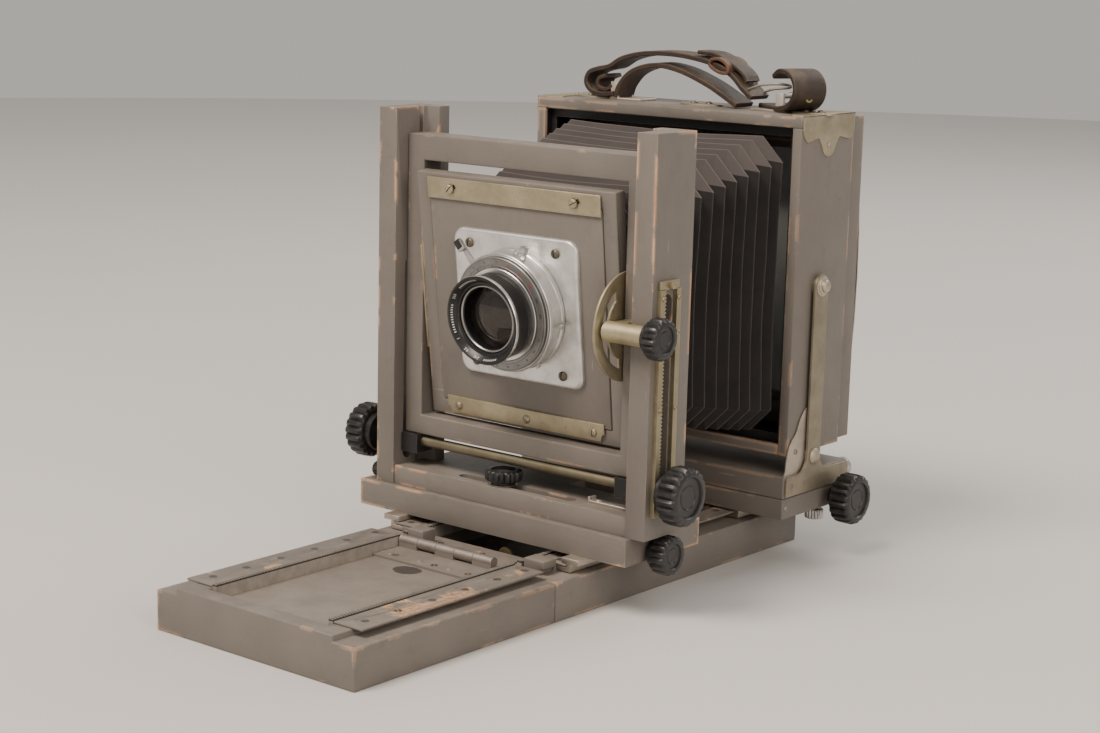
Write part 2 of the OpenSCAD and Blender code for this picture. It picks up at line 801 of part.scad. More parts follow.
module swing_plate() {
  h = rear_base_w / 2;
  color(nickel) translate([swing_x, swing_y, low_z0 + 3]) cylinder(h = up_z0 - low_z0 - 2.9, r = swing_pin_r);
  color(paint) difference() {
    block(-h, h, rear_base_y0, rear_base_y1, up_z0, up_z1);
    both() block(rail_in - rack_w - 6, rail_in + 6, rear_pinion_y - focus_r - 6, rear_pinion_y + focus_r + 6,
                 up_z0 - 1, up_z0 + 3);
  }
}

module side_strap() {
  h = rear_base_w / 2;
  x0 = h + 0.05;
  difference() {
    union() {
      block(x0, x0 + strap_t, rivet_y - strap_w / 2, rivet_y + strap_w / 2, up_z0 + 2, rivet_z);
      rod_x(x0, x0 + strap_t, rivet_y, rivet_z, strap_w / 2);
      block(x0, x0 + strap_t, rear_base_y0 + 3, rear_base_y1 - 3, up_z0 + 0.6, up_z1 - 0.6);
    }
    rod_x(x0 - 1, x0 + strap_t + 1, rivet_y, rivet_z, 3 + run_gap);
  }
  for (y = [rear_base_y0 + 12, rivet_y - 16, rivet_y + 18, rear_base_y1 - 10])
    translate([x0 + strap_t - 0.1, y, up_z0 + 7]) rotate([0, 90, 0]) cylinder(h = 0.9, r1 = 2.3, r2 = 1.5);
}
module side_straps() { color(nickel) both() side_strap(); }

module rear_frame() {
  ring = 20;
  color(paint) {
    difference() {
      block(-rear_x, rear_x, rear_y0, rear_y1, rear_z0, rear_z1);
      block(-rear_x + rear_wall, rear_x - rear_wall, rear_y0 - 1, rear_y1 + 1, rear_z0 + rear_wall, rear_z1 - rear_wall);
    }
    difference() {
      block(-rear_x + 1, rear_x - 1, rear_y1 - 8, rear_y1, rear_z0 + 1, rear_z1 - 1);
      block(-rear_x + ring, rear_x - ring, rear_y1 - 9, rear_y1 + 1, rear_z0 + ring, rear_z1 - ring);
    }
  }
  color(nickel) both() {
    rod_x(rear_x - 1, rear_base_w / 2 + strap_t + 0.3, rivet_y, rivet_z, 3);
    rod_x(rear_base_w / 2 + strap_t + 0.25, rear_base_w / 2 + strap_t + 2.6, rivet_y, rivet_z, 5.5);
    rod_x(rear_x, rear_base_w / 2 - 0.3, rivet_y, rivet_z, 6);
  }
}

guard_t = 0.9;
module corner_guards() {
  color(nickel) both() {
    block(rear_x, rear_x + guard_t, rear_y0 + 2, rear_y1 - 2, rear_z1 - 16, rear_z1 + guard_t);
    block(rear_x - 16, rear_x + guard_t, rear_y0 + 2, rear_y1 - 2, rear_z1, rear_z1 + guard_t);
  }
}

back_y0 = rear_y1 + 0.3;
module back_frame() {
  s = 26;
  color(paint) difference() {
    block(-rear_x + 2, rear_x - 2, back_y0, back_y0 + back_t, rear_z0 + 2, rear_z1 - 2);
    block(-rear_x + s, rear_x - s, back_y0 - 1, back_y0 + back_t + 1, rear_z0 + s, rear_z1 - s);
    block(-rear_x + s - 6, rear_x - s + 6, back_y0 + 6, back_y0 + back_t + 1, rear_z0 + s - 6, rear_z1 - s + 6);
  }
}

module ground_glass() {
  s = 26 - 5.5;
  color([0.85, 0.88, 0.88]) block(-rear_x + s, rear_x - s, back_y0 + 6.1, back_y0 + 8.6, rear_z0 + s, rear_z1 - s);
}

handle_x = 66;
handle_y = back(rear_back + 31);
handle_c = 8;
module handle_brackets() {
  color(nickel) translate([handle_c, 0, 0]) both() {
    block(handle_x - 22, handle_x + 4, handle_y - 9, handle_y + 9, rear_z1, rear_z1 + 1.4);
    for (s = [-1, 1])
      block(handle_x - 3, handle_x + 3, handle_y + s * 8 - 1, handle_y + s * 8 + 1, rear_z1 + 1.3, rear_z1 + 12);
    rod_y(handle_y - 9, handle_y + 9, handle_x, rear_z1 + 10, 1.6);
  }
}

module handle_strap() {
  half = handle_x - 2;
  rise = 24;
  arc_r = (half * half + rise * rise) / (2 * rise);
  base = rear_z1 + 10;
  color(leather) translate([handle_c, 0, 0]) {
    intersection() {
      translate([0, 0, base + rise - arc_r]) difference() {
        rod_y(handle_y - 6.6, handle_y + 6.6, 0, 0, arc_r + 4);
        rod_y(handle_y - 8, handle_y + 8, 0, 0, arc_r);
      }
      block(-half, half, handle_y - 7, handle_y + 7, base + 2.5, base + rise + 6);
    }
    both() difference() {
      rod_y(handle_y - 6.6, handle_y + 6.6, handle_x, base, 5.6);
      rod_y(handle_y - 8, handle_y + 8, handle_x, base, 2.1);
      block(handle_x - 20, handle_x - 30, handle_y - 9, handle_y + 9, base, base + 1);
    }
  }
}

bed_main();
main_rail_l();
main_rail_r();
main_racks();
hinge_rear_leaf();
bed_blocks();
tripod_bush();
bed_front();
front_panel();
front_rail_l();
front_rail_r();
front_racks();
hinge_front_leaf();
front_carriage();
front_gibs();
front_focus_shaft();
front_focus_knob();
front_lock_knob();
shift_knob();
front_base();
post_l();
post_r();
rise_rack_l();
rise_rack_r();
lever_strip();
rising_frame();
rise_bearings();
tilt_tube();
tilt_pivots();
rise_shaft();
rise_knob_l();
rise_knob_r();
tilt_knob();
tilt_panel();
quadrants();
bottom_clip();
lens_board();
adapter_plate();
shutter_case();
front_barrel();
lens_glass();
rear_cell();
top_clip();
speed_ring();
cocking_lever();
release_lever();
bellows();
rear_carriage();
rear_gibs();
rear_focus_shaft();
rear_focus_knob();
rear_lock_nut();
swing_plate();
side_straps();
rear_frame();
corner_guards();
back_frame();
ground_glass();
handle_brackets();
handle_strap();
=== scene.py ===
"""Looks of a flat-bed wooden view camera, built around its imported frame."""
import logging
import math
import random
from dataclasses import dataclass, field
from enum import Enum
from typing import Any, Callable, Iterable, Optional, Sequence

import bmesh
import bpy
from mathutils import Matrix, Vector, noise


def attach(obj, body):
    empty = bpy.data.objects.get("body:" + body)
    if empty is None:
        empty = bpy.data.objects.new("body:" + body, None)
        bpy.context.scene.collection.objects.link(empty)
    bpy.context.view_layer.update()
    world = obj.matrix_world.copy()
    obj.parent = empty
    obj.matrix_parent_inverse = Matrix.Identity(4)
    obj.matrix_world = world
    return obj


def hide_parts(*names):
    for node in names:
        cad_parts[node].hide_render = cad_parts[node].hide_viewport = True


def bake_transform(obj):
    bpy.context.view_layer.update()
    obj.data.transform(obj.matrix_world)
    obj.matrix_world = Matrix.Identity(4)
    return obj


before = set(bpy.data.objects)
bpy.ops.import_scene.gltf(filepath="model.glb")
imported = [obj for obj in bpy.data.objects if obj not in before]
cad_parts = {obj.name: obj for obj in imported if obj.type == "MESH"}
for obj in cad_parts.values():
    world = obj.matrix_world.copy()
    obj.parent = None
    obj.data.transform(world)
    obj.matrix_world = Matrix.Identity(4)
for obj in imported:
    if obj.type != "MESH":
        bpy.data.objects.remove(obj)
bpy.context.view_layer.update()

LOG = logging.getLogger("view_camera")
MM = 0.001
FLAT_TURN = 2.0
SHARP_TURN = 25.0
SIDES = ((-1, "l"), (1, "r"))
Point = tuple[float, float, float]
Outline = Sequence[tuple[float, float]]
Shape = Callable[[bmesh.types.BMesh], Any]
Seats = Iterable[tuple[Sequence[float], Sequence[float]]]


class Axis(Enum):
    """A direction of the frame."""

    X = (1.0, 0.0, 0.0)
    Y = (0.0, 1.0, 0.0)
    Z = (0.0, 0.0, 1.0)


# ---------------------------------------------------------------- shader graph


class Value:
    """A number that varies over a surface, held as a node socket."""

    def __init__(self, graph: "Graph", socket: bpy.types.NodeSocket) -> None:
        """Wraps a socket of the graph."""
        self.graph = graph
        self.socket = socket

    def _math(self, operation: str, *terms: Any, clamp: bool = False) -> "Value":
        """Adds a Math node.

        Args:
            operation: the node's operation.
            terms: its inputs, each a Value or a number.
            clamp: whether the result is held to 0..1.

        Returns:
            The node's result.
        """
        inputs = {i: term for i, term in enumerate(terms)}
        made = self.graph.node("Math", {"operation": operation, "use_clamp": clamp}, inputs)
        return Value(self.graph, made.outputs[0])

    def __add__(self, other: Any) -> "Value":
        """Sum."""
        return self._math("ADD", self, other)

    __radd__ = __add__

    def __sub__(self, other: Any) -> "Value":
        """Difference."""
        return self._math("SUBTRACT", self, other)

    def __rsub__(self, other: Any) -> "Value":
        """Difference, reflected."""
        return self._math("SUBTRACT", other, self)

    def __mul__(self, other: Any) -> "Value":
        """Product."""
        return self._math("MULTIPLY", self, other)

    __rmul__ = __mul__

    def held(self) -> "Value":
        """The value held to 0..1."""
        return self._math("ADD", self, 0.0, clamp=True)

    def most(self, other: Any) -> "Value":
        """The larger of two values."""
        return self._math("MAXIMUM", self, other)

    def step(self, low: float, high: float) -> "Value":
        """A smooth step from 0 at low to 1 at high.

        Args:
            low: where the step starts.
            high: where it ends.

        Returns:
            The stepped value.
        """
        settings = {"interpolation_type": "SMOOTHSTEP"}
        made = self.graph.node("MapRange", settings, {0: self, 1: low, 2: high, 3: 0.0, 4: 1.0})
        return Value(self.graph, made.outputs[0])


class Graph:
    """A material whose nodes are written as expressions."""

    def __init__(self, name: str) -> None:
        """Starts a material with a bare Principled shader."""
        self.material = bpy.data.materials.new(name)
        self.material.use_nodes = True
        self.tree = self.material.node_tree
        self.shader = self.tree.nodes["Principled BSDF"]

    def node(self, kind: str, settings: Optional[dict[str, Any]] = None,
             inputs: Optional[dict[Any, Any]] = None) -> bpy.types.Node:
        """Adds any node.

        Args:
            kind: the node's type without its ShaderNode prefix.
            settings: attributes that are set first.
            inputs: values or links by input name or index.

        Returns:
            The new node.
        """
        made = self.tree.nodes.new("ShaderNode" + kind)
        for key, value in (settings or {}).items():
            setattr(made, key, value)
        for key, value in (inputs or {}).items():
            self.feed(made.inputs[key], value)
        return made

    def feed(self, socket: bpy.types.NodeSocket, value: Any) -> None:
        """Sets or links one input.

        Args:
            socket: the input.
            value: a Value, a socket, or a constant.
        """
        if isinstance(value, Value):
            value = value.socket
        if isinstance(value, bpy.types.NodeSocket):
            self.tree.links.new(value, socket)
        elif isinstance(value, (tuple, list)) and socket.type == "RGBA" and len(value) == 3:
            socket.default_value = (*value, 1.0)
        else:
            socket.default_value = value

    def place(self, stretch: Sequence[float] = (1, 1, 1),
              shift: Sequence[float] = (0, 0, 0)) -> bpy.types.NodeSocket:
        """Object coordinates, scaled and shifted.

        Args:
            stretch: the scale along each axis.
            shift: the offset along each axis.

        Returns:
            The vector's socket.
        """
        coords = self.node("TexCoord").outputs["Object"]
        made = self.node("Mapping", None,
                         {"Vector": coords, "Scale": tuple(stretch), "Location": tuple(shift)})
        return made.outputs[0]

    def noise(self, scale: float, detail: float = 4.0, rough: float = 0.6,
              stretch: Sequence[float] = (1, 1, 1), shift: float = 0.0) -> Value:
        """Noise in object space.

        Args:
            scale: features per metre.
            detail: octaves.
            rough: how strong the fine octaves are.
            stretch: the scale along each axis.
            shift: an offset that sets this pattern apart.

        Returns:
            The noise, about 0.5 on average.
        """
        where = self.place(stretch, (shift, shift * 0.7, shift * 1.3))
        made = self.node("TexNoise", None,
                         {"Vector": where, "Scale": scale, "Detail": detail, "Roughness": rough})
        return Value(self, made.outputs[0])

    def cells(self, scale: float, feature: str = "F1") -> Value:
        """Distance in a cell pattern.

        Args:
            scale: cells per metre.
            feature: which distance the pattern gives.

        Returns:
            The distance.
        """
        made = self.node("TexVoronoi", {"feature": feature}, {"Vector": self.place(), "Scale": scale})
        return Value(self, made.outputs["Distance"])

    def mix(self, factor: Any, first: Any, second: Any) -> bpy.types.NodeSocket:
        """Mixes two colours.

        Args:
            factor: how much of the second.
            first: a colour.
            second: a colour.

        Returns:
            The mixed colour's socket.
        """
        settings = {"data_type": "RGBA", "clamp_factor": True}
        return self.node("Mix", settings, {0: factor, 6: first, 7: second}).outputs[2]

    def edge(self, radius: float) -> Value:
        """How sharply the surface turns within a radius.

        Args:
            radius: the reach in metres.

        Returns:
            0 on a flat and up to 1 on a square edge.
        """
        rounded = self.node("Bevel", {"samples": 6}, {"Radius": radius}).outputs[0]
        flat = self.node("NewGeometry").outputs["True Normal"]
        made = self.node("VectorMath", {"operation": "DOT_PRODUCT"}, {0: rounded, 1: flat})
        return ((1.0 - Value(self, made.outputs["Value"])) * 3.4).held()

    def facing_up(self) -> Value:
        """How much the surface faces up, 0..1."""
        normal = self.node("NewGeometry").outputs["True Normal"]
        made = self.node("SeparateXYZ", None, {0: normal})
        return Value(self, made.outputs["Z"]).held()

    def bump(self, height: Any, depth: float, strength: float = 1.0) -> None:
        """Adds relief to the surface.

        Args:
            height: the relief's height, 0..1.
            depth: metres that a height of 1 stands for.
            strength: how much of it shows.
        """
        made = self.node("Bump", None, {"Height": height, "Distance": depth, "Strength": strength})
        previous = self.shader.inputs["Normal"].links
        if previous:
            self.feed(made.inputs["Normal"], previous[0].from_socket)
        self.feed(self.shader.inputs["Normal"], made.outputs[0])

    def set(self, **values: Any) -> "Graph":
        """Sets inputs of the Principled shader.

        Args:
            values: input names with underscores for spaces.

        Returns:
            This graph.
        """
        for key, value in values.items():
            self.feed(self.shader.inputs[key.replace("_", " ")], value)
        return self


# ---------------------------------------------------------------- finishes


class Finish:
    """A finish that is made once and shared."""

    _made: dict[Any, bpy.types.Material] = {}

    def material(self) -> bpy.types.Material:
        """The finish's material."""
        if self not in Finish._made:
            graph = Graph(type(self).__name__ + "_%d" % len(Finish._made))
            self.dress(graph)
            Finish._made[self] = graph.material
        return Finish._made[self]

    def dress(self, graph: Graph) -> None:
        """Builds the finish's nodes."""
        raise NotImplementedError


@dataclass(frozen=True)
class GrayPaint(Finish):
    """Old gray brushing enamel on hardwood, chipped to primer and bare wood at the edges."""

    grain: Axis = Axis.X
    wear: float = 0.5
    tone: float = 1.0
    stained: bool = False

    def dress(self, graph: Graph) -> None:
        """Builds paint, grime, scuffs and edge wear."""
        along = tuple(0.08 if part else 1.0 for part in self.grain.value)
        strokes = graph.noise(1100, 3, 0.5, along)
        mottle = graph.noise(24, 5, 0.6)
        grime = graph.noise(65, 6, 0.7, shift=3.1)
        fine = graph.noise(1700, 2, 0.5, shift=1.7)
        base = graph.mix(mottle.step(0.25, 0.75), self._tint(0.156, 0.138, 0.121),
                         self._tint(0.181, 0.160, 0.141))
        base = graph.mix(strokes.step(0.35, 0.75) * 0.16, base, self._tint(0.215, 0.195, 0.175))
        base = graph.mix(grime.step(0.55, 0.80) * 0.38, base, self._tint(0.098, 0.086, 0.073))
        dust = graph.facing_up() * graph.noise(40, 5, 0.7, shift=5.0).step(0.3, 0.75) * 0.34
        base = graph.mix(dust, base, (0.36, 0.32, 0.275))
        lengthwise = tuple(0.05 if part else 1.3 for part in self.grain.value)
        scratch = graph.noise(230, 2, 0.4, lengthwise, shift=9.0)
        scuffs = scratch.step(0.72, 0.76) * graph.noise(30, 3, 0.6, shift=8.0).step(0.52, 0.64) * 0.55
        line, wide = graph.edge(0.0009), (graph.edge(0.0042) * 2.2).held()
        ragged = graph.noise(300, 5, 0.8, shift=2.2)
        patches = graph.noise(20, 3, 0.65, shift=6.0)
        rub = line * (ragged * 0.7 + patches.step(0.38, 0.60) * 0.5 + (self.wear - 0.4) * 0.4)
        chips = wide * (ragged * 0.95 + patches.step(0.50, 0.60) * 0.42 + (self.wear - 0.5) * 0.2)
        primer = rub.step(0.50, 0.72).most(scuffs).most(chips.step(0.70, 0.76) * 0.8)
        bare = chips.step(0.78, 0.84).most(rub.step(0.82, 0.92) * 0.8)
        spots = graph.cells(80).step(0.09, 0.05) * graph.noise(16, 2, 0.5, shift=4.4).step(0.63, 0.67)
        bare = bare.most(spots * 0.8)
        wood_grain = graph.noise(420, 4, 0.6, along, shift=0.4)
        wood = graph.mix(wood_grain.step(0.3, 0.7), (0.47, 0.265, 0.145), (0.66, 0.44, 0.28))
        colour = graph.mix(primer * 0.62, base, (0.44, 0.385, 0.32))
        colour = graph.mix(bare, colour, wood)
        if self.stained:
            colour = graph.mix(self._stain(graph) * (0.70 + 0.3 * fine), colour, (0.036, 0.033, 0.030))
        graph.set(Base_Color=colour, Specular_IOR_Level=0.42,
                  Roughness=(0.47 + 0.2 * grime + 0.22 * bare - 0.1 * strokes).held())
        relief = strokes * 0.16 + fine * 0.10 + mottle * 0.5 - bare * 1.5 - primer * 0.4 + grime * 0.2
        graph.bump(relief, 0.00022, 0.7)

    @staticmethod
    def _stain(graph: Graph) -> Value:
        """A ragged oval blot near the hinge."""
        where = graph.node("VectorMath", {"operation": "MULTIPLY"},
                           {0: graph.place((1, 1, 0), (0.0080, 0.1545, 0)),
                            1: (105.0, 128.0, 0.0)}).outputs[0]
        reach = Value(graph, graph.node("VectorMath", {"operation": "LENGTH"}, {0: where}).outputs["Value"])
        return (reach + 0.5 * graph.noise(160, 4, 0.7, shift=7.0)).step(1.30, 1.18)

    def _tint(self, red: float, green: float, blue: float) -> Point:
        """A colour lightened or darkened by the finish's tone."""
        return (red * self.tone, green * self.tone, blue * self.tone)


@dataclass(frozen=True)
class OldNickel(Finish):
    """Nickel plate gone dull and yellow, rubbed bright at its edges."""

    warmth: float = 1.0
    shade: float = 1.0

    def dress(self, graph: Graph) -> None:
        """Builds tarnish, pits and brushed lines."""
        cloud = graph.noise(60, 5, 0.65)
        spots = graph.noise(420, 4, 0.7, shift=2.0)
        brushed = graph.noise(1400, 2, 0.5, (1.0, 0.06, 1.0), shift=1.0)
        base = graph.mix(cloud.step(0.3, 0.7), self._tint(0.44, 0.385, 0.325), self._tint(0.58, 0.52, 0.45))
        base = graph.mix(spots.step(0.60, 0.72) * 0.5, base, (0.17, 0.14, 0.105))
        bright = graph.edge(0.0009).step(0.2, 0.8) * 0.5
        base = graph.mix(bright, base, self._tint(0.78, 0.74, 0.66))
        graph.set(Base_Color=base, Metallic=(0.92 - 0.35 * spots.step(0.6, 0.72)).held(),
                  Roughness=(0.36 + 0.22 * cloud + 0.14 * spots).held())
        graph.bump(brushed * 0.3 + spots * 0.5, 0.00006, 0.7)

    def _tint(self, red: float, green: float, blue: float) -> Point:
        """A metal colour, warmed and shaded."""
        return (red * self.shade, green * self.shade * (1.04 - 0.04 * self.warmth),
                blue * self.shade / self.warmth)


@dataclass(frozen=True)
class RackMetal(Finish):
    """Dull rack metal, darkened between its teeth by painted shade and old grease."""

    root: float = 0.0295
    tip: float = 0.0307

    def dress(self, graph: Graph) -> None:
        """Builds a metal that darkens towards the teeth's roots, as painted shade."""
        height = Value(graph, graph.node("SeparateXYZ", None, {0: graph.place()}).outputs["Z"])
        # 0 by the roots, where shade is painted, rising to 1 at the tips
        tip_share = height.step(self.root + 0.0004, self.tip)
        cloud = graph.noise(90, 5, 0.65)
        metal = graph.mix(cloud.step(0.3, 0.7), (0.34, 0.305, 0.265), (0.46, 0.42, 0.37))
        below = height.step(self.root - 0.0002, self.root)
        # painted shade: a near-black band at the teeth's roots stands for shade between the teeth, with old
        # grease
        base = graph.mix(tip_share.most(1.0 - below), (0.035, 0.030, 0.026), metal)
        graph.set(Base_Color=base, Metallic=(0.35 + 0.5 * tip_share).held(),
                  Roughness=(0.62 - 0.25 * tip_share).held())
        graph.bump(cloud, 0.00005, 0.6)


@dataclass(frozen=True)
class BrightSteel(Finish):
    """Turned steel, worn bright."""

    brass: float = 0.0

    def dress(self, graph: Graph) -> None:
        """Builds fine turned lines and stains."""
        stain = graph.noise(120, 5, 0.7)
        lines = graph.noise(1800, 2, 0.5, (0.15, 1, 1))
        cool, warm = (0.55, 0.54, 0.52), (0.60, 0.42, 0.20)
        mixed = tuple(c + (w - c) * self.brass for c, w in zip(cool, warm))
        base = graph.mix(stain.step(0.45, 0.8) * 0.6, mixed, tuple(c * 0.35 for c in mixed))
        graph.set(Base_Color=base, Metallic=0.95, Roughness=(0.24 + 0.25 * stain).held())
        graph.bump(lines, 0.00003, 0.5)


@dataclass(frozen=True)
class Bakelite(Finish):
    """Black moulded phenolic with dust in its flutes."""

    def dress(self, graph: Graph) -> None:
        """Builds a near-black plastic with hairline scratches."""
        dust = graph.noise(300, 5, 0.7)
        hairline = graph.noise(700, 3, 0.6, (0.1, 1, 1), shift=2.0)
        edge = graph.edge(0.0008)
        base = graph.mix(dust.step(0.5, 0.75) * 0.5, (0.011, 0.011, 0.012), (0.055, 0.052, 0.048))
        base = graph.mix(edge * dust.step(0.4, 0.6) * 0.4, base, (0.10, 0.095, 0.09))
        graph.set(Base_Color=base, Roughness=(0.26 + 0.22 * dust + 0.1 * hairline.step(0.55, 0.7)).held(),
                  Specular_IOR_Level=0.55, Coat_Roughness=0.2)
        graph.bump(dust * 0.4 + hairline.step(0.6, 0.68) * 0.4, 0.00004, 0.6)


@dataclass(frozen=True)
class SatinAlloy(Finish):
    """Satin aluminium or plated brass, with handling marks."""

    shade: float = 1.0
    polish: float = 0.0

    def dress(self, graph: Graph) -> None:
        """Builds a clouded satin metal."""
        cloud = graph.noise(70, 5, 0.65)
        pits = graph.cells(700).step(0.12, 0.05) * graph.noise(90, 3, 0.6, shift=4.0).step(0.55, 0.65)
        brushed = graph.noise(2200, 2, 0.5, (0.1, 1, 1), shift=3.0)
        light = (0.80 * self.shade, 0.80 * self.shade, 0.79 * self.shade)
        dark = (0.60 * self.shade, 0.59 * self.shade, 0.57 * self.shade)
        base = graph.mix(cloud.step(0.35, 0.75), light, dark)
        base = graph.mix(pits * 0.7, base, (0.2, 0.19, 0.18))
        graph.set(Base_Color=base, Metallic=0.9, Roughness=(0.36 - 0.24 * self.polish + 0.16 * cloud).held())
        graph.bump(brushed * 0.3 - pits * 0.8, 0.00004, 0.6)


@dataclass(frozen=True)
class BlackEnamel(Finish):
    """Black enamel on metal, rubbed to brass at its edges."""

    gloss: float = 0.5

    def dress(self, graph: Graph) -> None:
        """Builds the enamel with rubbed edges."""
        dust = graph.noise(350, 4, 0.65)
        edge = graph.edge(0.0006)
        rub = (edge * graph.noise(500, 4, 0.7, shift=3.0) * 1.9).step(0.75, 0.9)
        base = graph.mix(dust.step(0.5, 0.8) * 0.5, (0.010, 0.010, 0.011), (0.035, 0.033, 0.032))
        base = graph.mix(rub * 0.8, base, (0.42, 0.36, 0.24))
        graph.set(Base_Color=base, Metallic=rub * 0.8,
                  Roughness=(0.46 - 0.3 * self.gloss + 0.2 * dust).held())
        graph.bump(dust, 0.00003, 0.5)


@dataclass(frozen=True)
class CoatedGlass(Finish):
    """Lens glass with an old coating over a dark barrel."""

    tint: Point = (0.08, 0.05, 0.10)
    ior: float = 1.52

    def dress(self, graph: Graph) -> None:
        """Builds a dark glossy glass with faint cleaning marks."""
        haze = graph.noise(90, 3, 0.6)
        graph.set(Base_Color=graph.mix(haze, self.tint, tuple(c * 1.6 for c in self.tint)), IOR=self.ior,
                  Roughness=(0.02 + 0.05 * haze.step(0.5, 0.8)).held(), Alpha=0.42,
                  Specular_IOR_Level=0.6, Coat_Weight=1.0, Coat_Roughness=0.012,
                  Coat_Tint=(0.9, 0.8, 0.75, 1.0))
        self._blend(graph)

    @staticmethod
    def _blend(graph: Graph) -> None:
        """Lets the glass be seen through in previews."""
        graph.material.surface_render_method = "BLENDED"


@dataclass(frozen=True)
class GroundGlass(Finish):
    """Finely ground focusing glass."""

    def dress(self, graph: Graph) -> None:
        """Builds a milky glass."""
        grain = graph.noise(4000, 2, 0.5)
        graph.set(Base_Color=graph.mix(grain, (0.50, 0.53, 0.52), (0.62, 0.65, 0.64)),
                  Roughness=(0.42 + 0.2 * grain).held(), Alpha=0.94)
        graph.bump(grain, 0.00003, 0.6)


@dataclass(frozen=True)
class BellowsCloth(Finish):
    """Rubberised black cloth, dusty and worn on its folds, with painted highlights on its ridges and upward
    faces.
    """

    def dress(self, graph: Graph) -> None:
        """Builds a matte cloth with a fine weave, pale creases that are partly a painted highlight, and
        upward faces lightened by dust and a painted sheen.
        """
        weave = graph.noise(2600, 2, 0.5)
        cloud = graph.noise(45, 5, 0.7)
        edge = graph.edge(0.0012)
        base = graph.mix(cloud.step(0.3, 0.75), (0.0105, 0.0088, 0.0086), (0.021, 0.018, 0.0175))
        # painted highlight: upward faces lightened, partly as dust and partly as a painted sheen where light
        # falls on them
        base = graph.mix((graph.facing_up() * (0.75 + 0.5 * cloud)).held() * 0.8, base,
                         (0.150, 0.128, 0.122))
        # pale ridges: worn creases, with a painted highlight along the folds
        base = graph.mix((edge * graph.noise(160, 4, 0.7, shift=2.0) * 1.9).held() * 0.75, base,
                         (0.130, 0.112, 0.106))
        graph.set(Base_Color=base, Roughness=(0.62 + 0.2 * cloud).held(), Specular_IOR_Level=0.35,
                  Sheen_Weight=0.12, Sheen_Roughness=0.5)
        graph.bump(weave * 0.5 + cloud * 0.8, 0.00012, 0.7)


@dataclass(frozen=True)
class OldLeather(Finish):
    """Dark harness leather, cracked and rubbed brown."""

    brown: float = 0.0

    def dress(self, graph: Graph) -> None:
        """Builds grain, cracks and rubbed edges."""
        grain = graph.cells(1500, feature="DISTANCE_TO_EDGE")
        cracks = graph.noise(380, 5, 0.75, (1.6, 0.5, 1.0), shift=2.0)
        cloud = graph.noise(70, 4, 0.65)
        edge = graph.edge(0.0011)
        dark = (0.020 + 0.05 * self.brown, 0.014 + 0.02 * self.brown, 0.011 + 0.008 * self.brown)
        worn = (0.085 + 0.1 * self.brown, 0.052 + 0.03 * self.brown, 0.034 + 0.01 * self.brown)
        base = graph.mix(cloud.step(0.45, 0.85) * 0.7, dark, worn)
        base = graph.mix(graph.facing_up() * cloud.step(0.35, 0.6) * 0.55, base, (0.13, 0.095, 0.055))
        base = graph.mix((edge * cracks * 1.9).held() * 0.7, base, (0.21, 0.135, 0.085))
        base = graph.mix(cracks.step(0.62, 0.7) * 0.6, base, (0.006, 0.005, 0.004))
        graph.set(Base_Color=base, Roughness=(0.40 + 0.3 * cloud).held(), Specular_IOR_Level=0.5)
        graph.bump(grain.step(0.0, 0.25) * 0.5 - cracks.step(0.58, 0.72) * 0.9 + cloud * 0.4, 0.00022, 0.8)


@dataclass(frozen=True)
class PlainBoard(Finish):
    """The pale studio floor."""

    def dress(self, graph: Graph) -> None:
        """Builds a smooth matte board."""
        cloud = graph.noise(2, 2, 0.5)
        graph.set(Base_Color=graph.mix(cloud, (0.62, 0.61, 0.59), (0.66, 0.65, 0.63)), Roughness=0.75)


@dataclass(frozen=True)
class Ink(Finish):
    """Engraved marks filled with paint."""

    colour: Point = (0.8, 0.8, 0.8)

    def dress(self, graph: Graph) -> None:
        """Builds a slightly worn flat colour."""
        worn = graph.noise(900, 3, 0.6)
        graph.set(Base_Color=graph.mix(worn.step(0.4, 0.8) * 0.5, self.colour,
                                       tuple(c * 0.5 for c in self.colour)),
                  Roughness=(0.45 + 0.3 * worn).held())


# ---------------------------------------------------------------- mesh helpers


def finish_mesh(mesh: bmesh.types.BMesh, name: str, finish: Finish, body: str,
                smooth: float = 35.0, replaces: Sequence[str] = (), ride: bool = True,
                shaded: bool = False) -> bpy.types.Object:
    """Turns a bmesh into a piece that rides on a body.

    Args:
        mesh: the shape, in place; it is freed.
        name: the piece's name.
        finish: its finish.
        body: the body it rides on.
        smooth: edges sharper than this many degrees stay sharp.
        replaces: nodes that the piece stands for.
        ride: whether to ride it now.
        shaded: whether each face already says if it is smooth.

    Returns:
        The new object.
    """
    bmesh.ops.recalc_face_normals(mesh, faces=mesh.faces)
    for face in mesh.faces:
        face.smooth = face.smooth if shaded else True
    data = bpy.data.meshes.new(name)
    mesh.to_mesh(data)
    mesh.free()
    data.set_sharp_from_angle(angle=math.radians(smooth))
    piece = bpy.data.objects.new(name, data)
    bpy.context.scene.collection.objects.link(piece)
    data.materials.append(finish.material())
    if ride:
        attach(piece, body)
    if replaces:
        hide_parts(*replaces)
    LOG.info("%s on %s: %d faces", name, body, len(data.polygons))
    return piece


